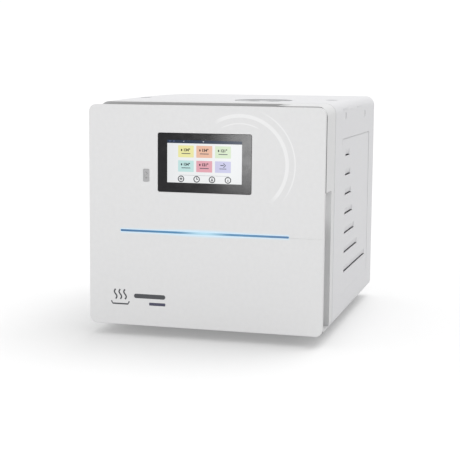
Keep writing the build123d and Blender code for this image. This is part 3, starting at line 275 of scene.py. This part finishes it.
# %% Metal finishes
finishes["stainless"] = simple_finish("brushed_stainless", (0.50, 0.50, 0.50), 0.03, (0.44, 0.54), 1500, 4e-6,
                                      1.0, (1, 0.04, 1))
brushed_sheet = simple_finish("brushed_sheet", (0.44, 0.44, 0.445), 0.03, (0.48, 0.58), 1500, 4e-6,
                              1.0, (0.02, 1, 1))
finishes["bright_steel"] = simple_finish("machined_steel", (0.44, 0.44, 0.45), 0.05, (0.42, 0.54), 2200, 1e-5,
                                         1.0, (1, 1, 0.2))
finishes["aluminium"] = simple_finish("cast_aluminium", (0.62, 0.62, 0.63), 0.05, (0.4, 0.58), 800, 6e-5, 1.0)
finishes["tray_aluminium"] = simple_finish("anodised_tray", (0.47, 0.485, 0.50), 0.04, (0.46, 0.56),
                                           1800, 1e-5, 1.0, (1, 0.05, 1))
finishes["brass"] = simple_finish("machined_brass", (0.72, 0.50, 0.20), 0.08, (0.2, 0.36), 1800, 1e-5, 1.0)
finishes["chrome"] = simple_finish("polished_chrome", (0.78, 0.78, 0.79), 0.03, (0.05, 0.12), 1400, 4e-6, 1.0)


def zinc_finish():
    """Crystal spangles: each Voronoi cell takes its own grey and roughness."""
    material, tree, shader = new_finish("zinc_plate")
    cells = put(tree, "ShaderNodeTexVoronoi", Vector=place_of(tree), Scale=110.0)
    tone = put(tree, "ShaderNodeSeparateColor", Color=cells.outputs["Color"]).outputs[0]
    tree.links.new(blend_colours(tree, tone, shade((0.46, 0.47, 0.48)), shade((0.60, 0.61, 0.62))),
                   shader.inputs["Base Color"])
    tree.links.new(span(tree, tone, 0.28, 0.48, 0, 1), shader.inputs["Roughness"])
    shader.inputs["Metallic"].default_value = 1.0
    relief(tree, shader, grain(tree, 600), 1e-5)
    return material


finishes["zinc_sheet"] = zinc_finish()
shaders = {name: finish.node_tree.nodes["Principled BSDF"] for name, finish in finishes.items()}
print("metals:", [name for name in shaders if shaders[name].inputs["Metallic"].default_value])

# %% [markdown]
# ## Felt and circuit board
# Lagging felt is a mat of crossing fibres: two stretched noises laid at right angles.
# A board shows copper tracks under green lacquer; a brick pattern gives lanes of tracks.

# %% Felt and board
def felt_finish():
    """Height = fibres along Y plus fibres around X, each a drawn-out noise."""
    material, tree, shader = new_finish("lagging_felt")
    fibres = sums(tree, "ADD", grain(tree, 900, (1, 0.08, 1)), grain(tree, 900, (0.08, 1, 1)))
    colour = blend_colours(tree, span(tree, fibres, 0, 1, 0.7, 1.3), shade((0.55, 0.53, 0.46)),
                           shade((0.78, 0.76, 0.70)))
    tree.links.new(colour, shader.inputs["Base Color"])
    shader.inputs["Roughness"].default_value = 0.95
    shader.inputs["Sheen Weight"].default_value = 0.3
    relief(tree, shader, fibres, 5e-4)
    return material


def board_finish():
    """Tracks where a brick pattern's mortar runs, a shade lighter than the lacquer."""
    material, tree, shader = new_finish("lacquered_board")
    tracks = put(tree, "ShaderNodeTexBrick", Vector=place_of(tree), Scale=55.0, Mortar_Size=0.03)
    colour = blend_colours(tree, tracks.outputs["Fac"], shade((0.012, 0.10, 0.045)),
                           shade((0.05, 0.24, 0.12)))
    tree.links.new(colour, shader.inputs["Base Color"])
    shader.inputs["Roughness"].default_value = 0.3
    relief(tree, shader, tracks.outputs["Fac"], 3e-5)
    return material


finishes["felt"] = felt_finish()
finishes["board_green"] = board_finish()

# %% [markdown]
# ## The door's face
# The face is the same moulded white as its housing, with three plain arcs in a slightly
# lighter tone around a point by the screen's upper right corner, and a painted blue glow
# close to the guide, standing in for the light it throws on the plastic. Both are sums of
# distances, so they stay sharp at any size: an arc is a band of radius, cut off by the angle
# about its centre.

# %% Door face
glass_low, glass_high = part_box("display_glass")
bar_low, bar_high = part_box("light_bar")
bar_mid = (bar_low + bar_high) / 2
bar_half_height = 1.8 * mm
arc_centre = (0.071, 0.351)
arcs = (                                   # radius, width, first and last angle, fade in degrees
    (79.0, 2.2, 57, 122, 14),
    (94.0, 7.0, -52, 126, 16),
    (109.5, 2.4, -44, 74, 26),
)


def mottle(tree, rgb):
    """A colour that wanders by one percent, over patches of some 8 mm."""
    patches = span(tree, grain(tree, 120), 0, 1)
    return blend_colours(tree, patches, shade(rgb, 0.99), shade(rgb, 1.01))


def arc_mask(tree, radius, angle, ring_mm, width_mm, first, last, fade):
    """1 inside a band of radius and between two angles, with soft ends."""
    off = sums(tree, "ABSOLUTE", sums(tree, "SUBTRACT", radius, ring_mm * mm))
    band = span(tree, off, 1, 0, (width_mm / 2 - 0.4) * mm, (width_mm / 2 + 0.4) * mm)
    first, last, fade = (math.radians(a) for a in (first, last, fade))
    start = span(tree, angle, 0, 1, first, first + fade)
    stop = span(tree, angle, 1, 0, last - fade, last)
    return sums(tree, "MULTIPLY", band, sums(tree, "MULTIPLY", start, stop))


def door_face_finish():
    """Moulded white; lighter where an arc runs; a painted blue glow of the light guide close to it."""
    material, tree, shader = new_finish("door_face_white")
    coords = put(tree, "ShaderNodeTexCoord").outputs["Object"]
    axes = put(tree, "ShaderNodeSeparateXYZ", Vector=coords).outputs
    dx = sums(tree, "SUBTRACT", axes[0], arc_centre[0])
    dz = sums(tree, "SUBTRACT", axes[2], arc_centre[1])
    square = sums(tree, "ADD", sums(tree, "MULTIPLY", dx, dx), sums(tree, "MULTIPLY", dz, dz))
    radius = sums(tree, "SQRT", square)
    angle = sums(tree, "ARCTAN2", dz, dx)
    masks = [arc_mask(tree, radius, angle, *arc) for arc in arcs]
    total = sums(tree, "MAXIMUM", sums(tree, "MAXIMUM", masks[0], masks[1]), masks[2])
    front = span(tree, axes[1], 1, 0, cad_low[1] + 1 * mm, cad_low[1] + 2 * mm)
    total = sums(tree, "MULTIPLY", total, front)
    fine = grain(tree, 1600)
    plain = mottle(tree, face_white)
    lighter = blend_colours(tree, total, plain, shade(face_white, 1.13))
    # Painted glow: the guide's blue light painted into the face's colour, fading with the distance above and
    # beside the bar.
    above = sums(tree, "ABSOLUTE", sums(tree, "SUBTRACT", axes[2], bar_mid[2]))
    along = sums(tree, "ABSOLUTE", sums(tree, "SUBTRACT", axes[0], bar_mid[0]))
    reach = span(tree, along, bar_half_height + 7.0 * mm, bar_half_height + 4.2 * mm, 0.01, 0.11)
    bar_half = (bar_high[0] - bar_low[0]) / 2
    inside = span(tree, along, 1, 0, bar_half - 6 * mm, bar_half - 3 * mm)
    glow = sums(tree, "SUBTRACT", 1.0, sums(tree, "DIVIDE", above, reach))
    glow = sums(tree, "MULTIPLY", sums(tree, "MULTIPLY", sums(tree, "MAXIMUM", glow, 0.0), 1.5), inside)
    glow = sums(tree, "MULTIPLY", sums(tree, "MINIMUM", glow, 1.0), front)
    face_with_painted_glow = blend_colours(tree, glow, lighter, shade((0.47, 0.64, 0.76)))
    tree.links.new(face_with_painted_glow, shader.inputs["Base Color"])
    tree.links.new(span(tree, fine, 0.45, 0.55), shader.inputs["Roughness"])
    relief(tree, shader, fine, 1.5e-5)
    return material


face_white = (0.55, 0.55, 0.553)
door_face = door_face_finish()
print("door face: arcs about", arc_centre, "radii", [arc[0] for arc in arcs])

# %% [markdown]
# ## The line of light
# A milky rod lit from behind its middle: pale at the centre, a deeper blue towards its ends.
# It has to glow by itself, so the colour goes to the emission, by the distance along X.

# %% Light guide
def light_guide_finish():
    """Emission colour from pale to deep blue with the distance from the middle."""
    material, tree, shader = new_finish("blue_light_guide")
    coords = put(tree, "ShaderNodeTexCoord").outputs["Object"]
    along = sums(tree, "ABSOLUTE", put(tree, "ShaderNodeSeparateXYZ", Vector=coords).outputs[0])
    near = blend_colours(tree, span(tree, along, 0, 1, 0.0, 0.06), (0.38, 0.62, 0.74, 1),
                         (0.012, 0.155, 0.33, 1))
    colour = blend_colours(tree, span(tree, along, 0, 1, 0.07, 0.17), near, (0.004, 0.10, 0.26, 1))
    tree.links.new(colour, shader.inputs["Emission Color"])
    shader.inputs["Emission Strength"].default_value = 1.0
    shader.inputs["Base Color"].default_value = (0.02, 0.03, 0.04, 1)
    tree.links.new(span(tree, grain(tree, 900), 0.3, 0.4), shader.inputs["Roughness"])
    return material


light_guide = light_guide_finish()

# %% [markdown]
# ## The housing's painted shade and painted light
# Behind the face, the channel along the top edge is painted a shade greyer than the white shell,
# painted shade where its back wall lies in shadow; the hand recess is painted lighter in its upper
# part. The shell is one moulding here, so both are changes of colour by height and depth.

# %% Housing
channel_back, channel_shade_floor_z = -0.238, 0.4485
recess_wall, recess_top = 0.217, 0.3005
housing_tone = tuple(0.955 * c for c in face_white)


def housing_finish():
    """Moulded white; painted shade, greyer, where Z is over the channel floor and X is left of its
    end, in front of the channel's back wall. The hand recess has painted light, a lighter tone in
    its upper part."""
    material, tree, shader = new_finish("housing_white")
    coords = put(tree, "ShaderNodeTexCoord").outputs["Object"]
    x, y, z = put(tree, "ShaderNodeSeparateXYZ", Vector=coords).outputs
    # Painted shade: the channel's back wall, where shadow falls, coloured greyer by height, depth and width.
    deep = span(tree, y, 1, 0, channel_back + 1.4 * mm, channel_back + 1.8 * mm)
    channel_painted_shade = sums(tree, "MULTIPLY", span(tree, z, 0, 1, channel_shade_floor_z, channel_shade_floor_z + 1 * mm), deep)
    channel_painted_shade = sums(tree, "MULTIPLY", channel_painted_shade, span(tree, x, 1, 0, 0.150, 0.165))
    fine = grain(tree, 1600)
    plain = mottle(tree, housing_tone)
    with_painted_shade = blend_colours(tree, channel_painted_shade, plain, shade(housing_tone, 0.68))
    # Painted light: the upper part of the hand recess coloured 1.3 times lighter than its lower part.
    upper = sums(tree, "MULTIPLY", span(tree, z, 0, 1, 0.21, 0.26),
                 span(tree, z, 1, 0, recess_top, recess_top + 1 * mm))
    upper = sums(tree, "MULTIPLY", sums(tree, "MULTIPLY", upper, deep),
                 span(tree, x, 0, 1, recess_wall, recess_wall + 1 * mm))
    tree.links.new(blend_colours(tree, upper, with_painted_shade, shade(housing_tone, 1.3)), shader.inputs["Base Color"])
    tree.links.new(span(tree, fine, 0.45, 0.55), shader.inputs["Roughness"])
    relief(tree, shader, fine, 1.5e-5)
    return material


housing_white = housing_finish()

# %% [markdown]
# ## The data socket
# A grey insert with an upright slot. What lies behind the rim is given a paler colour by its
# depth, painted light that lifts the slot's shade, which in one colour would come out nearly black.

# %% Data socket
socket_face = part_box("usb_socket")[0][1]


def socket_finish():
    """Grey rim; paler from half a millimetre behind it, painted light in the slot."""
    material, tree, shader = new_finish("data_socket_grey")
    coords = put(tree, "ShaderNodeTexCoord").outputs["Object"]
    depth = put(tree, "ShaderNodeSeparateXYZ", Vector=coords).outputs[1]
    # Painted light: the slot behind the rim coloured paler to lift its shade.
    inside = span(tree, depth, 0, 1, socket_face + 0.5 * mm, socket_face + 1 * mm)
    tree.links.new(blend_colours(tree, inside, shade((0.30, 0.30, 0.305)), shade((0.68, 0.68, 0.68))),
                   shader.inputs["Base Color"])
    tree.links.new(span(tree, grain(tree, 1500), 0.45, 0.55), shader.inputs["Roughness"])
    return material


# %% Give every part its finish
slot_of = {part["node"]: part["material_slot"] for part in frame["record"]["subparts"]}
for name, part in frame["nodes"].items():
    part.data.materials.clear()
    part.data.materials.append(finishes.get(slot_of[name], finishes["black_plastic"]))
for name, finish in (("door_front_panel", door_face), ("light_bar", light_guide),
                     ("door_housing", housing_white), ("front_bulkhead", brushed_sheet),
                     ("door_plate", brushed_sheet), ("usb_socket", socket_finish())):
    frame["nodes"][name].data.materials.clear()
    frame["nodes"][name].data.materials.append(finish)
print("slots without a finish:", sorted(set(slot_of.values()) - set(finishes)))

# %% [markdown]
# ## Thin plates, ribbons and figures
# Everything on the screen is flat and thin, so three kinds of surface are enough. A plate is
# a pile of outlines closed at both ends; a ribbon is a small rectangle carried along a path;
# a figure is the outline font made solid. All are closed shells, front towards -Y.

# %% Shape helpers
def rounded_outline(width, height, radius, per_corner=8):
    """Rounded rectangle about the origin: corner k is centre_k + radius (cos a, sin a)
    with a from 90 k to 90 k + 90 degrees, joined by the straight sides."""
    a = np.linspace(0, math.pi / 2, per_corner)[None, :] + np.arange(4)[:, None] * math.pi / 2
    cx = np.array([1, -1, -1, 1])[:, None] * (width / 2 - radius)
    cz = np.array([1, 1, -1, -1])[:, None] * (height / 2 - radius)
    return np.stack([cx + radius * np.cos(a), cz + radius * np.sin(a)], -1).reshape(-1, 2)


def pile(outlines, depths, centre):
    """Closed shell from outlines at rising depths: point = (x + cx, depth, z + cz)."""
    n = len(outlines[0])
    points = np.concatenate([np.column_stack([o[:, 0] + centre[0], np.full(n, d), o[:, 1] + centre[1]])
                             for o, d in zip(outlines, depths)])
    i, j = np.arange(n), (np.arange(n) + 1) % n
    rings = [np.column_stack([i + k * n, i + (k + 1) * n, j + (k + 1) * n, j + k * n])
             for k in range(len(outlines) - 1)]
    last = (len(outlines) - 1) * n
    return points, np.concatenate(rings).tolist() + [i.tolist(), (i[::-1] + last).tolist()]


def plate(width, height, radius, centre, front, back):
    """Flat plate with rounded corners between two depths."""
    outline = rounded_outline(width, height, radius, 5)
    return pile([outline, outline], [front, back], centre)


def ribbon(path, width, front, back, closed=False):
    """Rectangle width x (back - front) carried along a path in the XZ plane. Each station is
    path point +- half the width along the path's normal, at the front and at the back."""
    path = np.asarray(path, float)
    ahead_of = np.roll(path, -1, 0) if closed else np.concatenate([path[1:], path[-1:]])
    behind = np.roll(path, 1, 0) if closed else np.concatenate([path[:1], path[:-1]])
    along = ahead_of - behind
    along /= np.linalg.norm(along, axis=1)[:, None]
    side = np.column_stack([-along[:, 1], along[:, 0]]) * width / 2
    n = len(path)
    left, right_side = path + side, path - side
    ring = np.stack([np.insert(left, 1, front, 1), np.insert(right_side, 1, front, 1),
                     np.insert(right_side, 1, back, 1), np.insert(left, 1, back, 1)], 1)
    i = np.arange(n if closed else n - 1)[:, None] * 4
    k = np.arange(4)[None, :]
    nxt = (i + 4) % (4 * n)
    faces = np.stack([i + k, i + (k + 1) % 4, nxt + (k + 1) % 4, nxt + k], -1).reshape(-1, 4).tolist()
    if not closed:
        faces += [[3, 2, 1, 0], [4 * n - 4 + c for c in (0, 1, 2, 3)]]
    return ring.reshape(-1, 3), faces


def circle(radius, centre, count=32):
    """Points at equal angles."""
    t = np.linspace(0, 2 * math.pi, count, endpoint=False)
    return np.column_stack([centre[0] + radius * np.cos(t), centre[1] + radius * np.sin(t)])


def figure(text, height, centre, front, back, weight=0.0):
    """Figures of the built-in font, made a solid and stood up: (x, y, z) -> (x, -z, y)."""
    curve = bpy.data.curves.new("figure", "FONT")
    curve.body, curve.size, curve.align_x, curve.align_y = text, height, "CENTER", "CENTER"
    curve.extrude, curve.offset, curve.resolution_u = (back - front) / 2, weight, 3
    holder = bpy.data.objects.new("figure", curve)
    mesh = bpy.data.meshes.new_from_object(holder)
    co = np.zeros(len(mesh.vertices) * 3)
    mesh.vertices.foreach_get("co", co)
    co = co.reshape(-1, 3)
    points = np.column_stack([co[:, 0] + centre[0], (front + back) / 2 - co[:, 2], co[:, 1] + centre[1]])
    points, where = np.unique(np.round(points, 7), axis=0, return_inverse=True)
    faces = [where.ravel()[list(p.vertices)].tolist() for p in mesh.polygons]
    bpy.data.objects.remove(holder)
    return points, faces


def outward(points, faces):
    """Turn a shell's faces round if its signed volume, the sum of a . (b x c) / 6, is negative."""
    volume = sum(points[f[0]] @ np.cross(points[f[1:-1]], points[f[2:]]).sum(0) for f in faces)
    return [f[::-1] for f in faces] if volume < 0 else faces


def make_piece(name, shapes, body, finish, tints=None, smooth=False):
    """Join shapes into one object; tints gives each shape its colour in the attribute 'tint'."""
    points, faces, colours, start = [], [], [], 0
    for k, (p, f) in enumerate(shapes):
        points.append(p)
        faces += [[v + start for v in face] for face in outward(p, f)]
        colours += [(tints[k] if tints else (1, 1, 1, 1))] * len(p)
        start += len(p)
    points = np.concatenate(points)
    mesh = bpy.data.meshes.new(name)
    mesh.from_pydata(points.tolist(), [], faces)
    layer = mesh.attributes.new("tint", "FLOAT_COLOR", "POINT")
    layer.data.foreach_set("color", np.asarray(colours, np.float32).ravel())
    mesh.shade_smooth() if smooth else mesh.shade_flat()
    mesh.validate()
    mesh.materials.append(finish)
    piece = bpy.data.objects.new(name, mesh)
    bpy.context.scene.collection.objects.link(piece)
    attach(piece, body)
    print(name, len(mesh.polygons), "faces")
    return piece


# %% [markdown]
# ## The cover glass
# The screen sits behind a sheet of glass that is printed black on its back. Its front edge is
# ground to a small round, which is what catches a line of light. The plate is a pile of five
# outlines, drawn in by the round's circle: inset = r (1 - cos t), depth = r (1 - sin t).

# %% Cover glass
glass_size = glass_high - glass_low
glass_mid = (glass_low + glass_high) / 2
glass_face = glass_low[1] + 0.35 * mm
edge_round = 0.8 * mm
glass_corner = 3.7 * mm


def glass_finish():
    """Nearly black, polished, with a faint bloom of fingerprints in its roughness."""
    material, tree, shader = new_finish("black_cover_glass")
    shader.inputs["Base Color"].default_value = (0.006, 0.006, 0.007, 1)
    tree.links.new(span(tree, grain(tree, 60), 0.11, 0.15), shader.inputs["Roughness"])
    shader.inputs["Specular IOR Level"].default_value = 0.2
    return material


t = np.linspace(0, math.pi / 2, 5)
insets = list(edge_round * (1 - np.sin(t))) + [0.0]
depths = list(glass_face + edge_round * (1 - np.cos(t))) + [glass_high[1]]
cover_glass = make_piece("cover_glass", [pile(
    [rounded_outline(glass_size[0] - 2 * i, glass_size[2] - 2 * i, glass_corner - i) for i in insets],
    depths, (glass_mid[0], glass_mid[2]))], "door", glass_finish())
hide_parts("display_glass")

# %% [markdown]
# ## The picture on the screen
# A pale page with a dark bar along its top, six coloured tiles with a temperature each, a
# thin rule and four round buttons. The layers lie 0.05 mm apart in front of the glass. The
# words of a real menu are left out: each tile has its figure and a plain dash below it.

# %% Screen finish
def lit(r, g, b):
    """Display values 0-255 to linear light."""
    c = np.array([r, g, b]) / 255
    return tuple(np.where(c <= 0.04045, c / 12.92, ((c + 0.055) / 1.055) ** 2.4)) + (1.0,)


def screen_finish():
    """Glows in its tint; the backlight falls off by a few percent towards the rim."""
    material, tree, shader = new_finish("lit_screen")
    tint = put(tree, "ShaderNodeAttribute", {"attribute_name": "tint"}).outputs["Color"]
    coords = put(tree, "ShaderNodeTexCoord").outputs["Object"]
    x = put(tree, "ShaderNodeSeparateXYZ", Vector=coords).outputs[0]
    fall = span(tree, sums(tree, "ABSOLUTE", x), 1.0, 0.95, 0.04, 0.078)
    dimmed = put(tree, "ShaderNodeVectorMath", {"operation": "SCALE"}, in0=tint, Scale=fall).outputs[0]
    tree.links.new(dimmed, shader.inputs["Emission Color"])
    shader.inputs["Emission Strength"].default_value = 0.93
    shader.inputs["Base Color"].default_value = (0.0, 0.0, 0.0, 1)
    shader.inputs["Roughness"].default_value = 0.14
    shader.inputs["Specular IOR Level"].default_value = 0.1
    return material


lit_screen = screen_finish()
layer = 0.05 * mm
page_front = glass_face - layer


def at(x, z):
    """Place on the door's face: x and z in millimetres, z above the bench."""
    return (x * mm, z * mm)


def line(x0, z0, x1, z1):
    """Straight path between two places in millimetres."""
    return np.array([[x0, z0], [x1, z1]]) * mm


# %% Page, bar and tiles
page_half, page_low, page_high, bar_low_z = 75.5, 312.5, 395.8, 389.6
page = plate(2 * page_half * mm, (page_high - page_low) * mm, 0.3 * mm, at(0, (page_low + page_high) / 2),
             page_front, glass_face)
top_bar = plate(2 * page_half * mm, (page_high - bar_low_z) * mm, 0.2 * mm,
                at(0, (bar_low_z + page_high) / 2), page_front - layer, page_front)
make_piece("screen_page", [page], "door", lit_screen, [lit(243, 245, 246)])
make_piece("screen_top_bar", [top_bar], "door", lit_screen, [lit(44, 58, 80)])
columns = ((-53.2, -21.3), (-16.2, 16.1), (21.7, 53.6))
rows = ((362.2, 385.5), (334.1, 356.3))
tile_colours = (lit(242, 238, 170), lit(240, 192, 166), lit(220, 236, 206),
                lit(198, 232, 230), lit(232, 170, 182), lit(206, 206, 236))
tiles = [plate((x1 - x0) * mm, (z1 - z0) * mm, 0.8 * mm, at((x0 + x1) / 2, (z0 + z1) / 2),
               page_front - layer, page_front) for z0, z1 in rows for x0, x1 in columns]
make_piece("screen_tiles", tiles, "door", lit_screen, list(tile_colours))

# %% Figures, dashes and buttons
mark_front, mark_back = page_front - 2 * layer, page_front - layer
ink = lit(22, 25, 36)
grey_ink = lit(84, 86, 96)
marks, inks = [], []
readings = ("134°", "134°", "121°", "134°", "121°", None)
for k, reading in enumerate(readings):
    x0, x1 = columns[k % 3]
    z0, z1 = rows[k // 3]
    cx = (x0 + x1) / 2
    number_z, dash_z = z0 + 14.3, z0 + 7.6
    if reading:
        marks.append(figure(reading, 7.4 * mm, at(cx + 1.6, number_z), mark_front, mark_back, 0.32 * mm))
        marks.append(ribbon(line(cx - 10.2, number_z, cx - 7.6, number_z), 4.0 * mm, mark_front, mark_back))
        marks.append(ribbon(line(cx - 9, dash_z, cx + 9, dash_z), 1.5 * mm, mark_front, mark_back))
        inks += [ink, ink, grey_ink]
    else:
        marks.append(ribbon(line(cx - 5, number_z, cx + 2, number_z), 1.4 * mm, mark_front, mark_back))
        arrow = np.array([[cx + 1, number_z + 4], [cx + 5.5, number_z], [cx + 1, number_z - 4]])
        marks.append(ribbon(arrow * mm, 1.4 * mm, mark_front, mark_back))
        marks.append(ribbon(line(cx - 7, dash_z, cx + 7, dash_z), 1.3 * mm, mark_front, mark_back))
        inks += [ink, ink, grey_ink]
marks.append(ribbon(line(-51, 327.5, 50, 327.5), 0.5 * mm, mark_front, mark_back))
inks.append(lit(150, 152, 158))
button_z, button_r = 320.0, 5.6
for cx in (-47.2, -15.3, 15.9, 48.0):
    marks.append(ribbon(circle(button_r * mm, at(cx, button_z)), 1.7 * mm, mark_front, mark_back, True))
    inks.append(ink)
signs = [
    line(-50.2, 320, -44.2, 320), line(-47.2, 317, -47.2, 323),          # a cross for a new cycle
    line(-15.3, 320, -15.3, 323.6), line(-15.3, 320, -12.6, 320),        # clock hands
    line(13.6, 318, 18.2, 318), line(14.4, 320, 17.4, 320), line(15.0, 322, 16.8, 322),   # steps
    line(48.0, 317, 48.0, 320.6), line(48.0, 322.2, 48.0, 323.2),        # a bar and a dot
]
for path in signs:
    marks.append(ribbon(path, 1.6 * mm, mark_front, mark_back))
    inks.append(ink)
caret = np.array([[-43, 392.6], [-42, 394.4], [-41, 392.6]])
marks.append(ribbon(caret * mm, 0.7 * mm, mark_front, mark_back))
marks.append(ribbon(circle(0.6 * mm, at(-2, 393.5), 12), 0.8 * mm, mark_front, mark_back, True))
marks.append(ribbon(line(-71.5, 393.5, -68.5, 393.5), 1.2 * mm, mark_front, mark_back))
marks.append(ribbon(line(-63.5, 393.5, -60.5, 393.5), 1.2 * mm, mark_front, mark_back))
inks += [lit(200, 205, 225), lit(235, 238, 245), lit(110, 120, 160), lit(110, 120, 160)]
make_piece("screen_marks", marks, "door", lit_screen, inks)

# %% [markdown]
# ## A plain mark on the door
# The lower left corner of such a door carries its maker's plate. Here it is a plain sign for
# steam, three waves over a tray, and two bars where a name would be. It is a film of ink, so
# each stroke is a ribbon a few hundredths of a millimetre thick, x = x0 + a sin(2 pi t).

# %% Printed mark
def ink_finish(name, rgb):
    """Screen-printed ink: slightly uneven cover and gloss."""
    return simple_finish(name, rgb, 0.08, (0.35, 0.5), 1300, 4e-6)


ink_front, ink_back = cad_low[1] - 0.05 * mm, cad_low[1] + 0.1 * mm
rise = np.linspace(0, 1, 25)
waves = [ribbon(np.column_stack([x + 2.6 * np.sin(2 * math.pi * rise), 74 + 20 * rise]) * mm, 3.0 * mm,
                ink_front, ink_back) for x in (-184.0, -174.0, -164.0)]
tray_path = np.array([[-193, 70], [-190, 64.5], [-158, 64.5], [-155, 70]]) * mm
tray_sign = ribbon(tray_path, 3.0 * mm, ink_front, ink_back)
name_bar = plate(66 * mm, 9 * mm, 4.4 * mm, at(-112, 82), ink_front, ink_back)
make_piece("door_mark", waves + [tray_sign, name_bar], "door",
           ink_finish("mark_ink", (0.028, 0.03, 0.036)))
small_bar = plate(34 * mm, 6 * mm, 1.2 * mm, at(-96, 67), ink_front, ink_back)
make_piece("door_mark_small", [small_bar], "door",
           ink_finish("mark_ink_blue", (0.026, 0.026, 0.06)))

# %% [markdown]
# ## The door seal
# A silicone ring with two rounded lips and a groove between them, which the steam presses
# against the collar. It is a closed profile in radius and depth, carried round a circle.

# %% Gasket
seal_low, seal_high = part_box("door_gasket")
seal_out = (seal_high[0] - seal_low[0]) / 2
seal_steps = 128                         # round the circle
seal_width, seal_depth = 9.0 * mm, seal_high[1] - seal_low[1]


def seal_ring():
    """point = centre + (R cos u, y, R sin u), where (R, y) runs round the closed profile:
    a flat foot, straight flanks, and a lip line y = depth (0.86 + 0.14 |cos(pi s)|)."""
    s = np.linspace(0, 1, 17)
    lip_r = seal_out - 0.3 * mm - s * (seal_width - 0.6 * mm)
    lip_y = seal_depth * (0.72 + 0.28 * np.abs(np.cos(math.pi * s)) ** 0.6)
    profile_r = np.concatenate([[seal_out - seal_width, seal_out], lip_r])
    profile_y = np.concatenate([[0.0, 0.0], lip_y])
    u = np.linspace(0, 2 * math.pi, seal_steps, endpoint=False)[:, None]
    depths = np.broadcast_to(profile_y + seal_low[1], (seal_steps, len(profile_r)))
    axis_z = (seal_low[2] + seal_high[2]) / 2
    points = np.stack([profile_r * np.cos(u), depths, profile_r * np.sin(u) + axis_z], -1)
    n = len(profile_r)
    i, k = np.arange(seal_steps)[:, None], np.arange(n)[None, :]
    a, b = i * n + k, i * n + (k + 1) % n
    c, d = (i + 1) % seal_steps * n + (k + 1) % n, (i + 1) % seal_steps * n + k
    return points.reshape(-1, 3), np.stack([a, d, c, b], -1).reshape(-1, 4).tolist()


seal = make_piece("door_seal", [seal_ring()], "door", finishes["silicone"], smooth=True)
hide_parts("door_gasket")
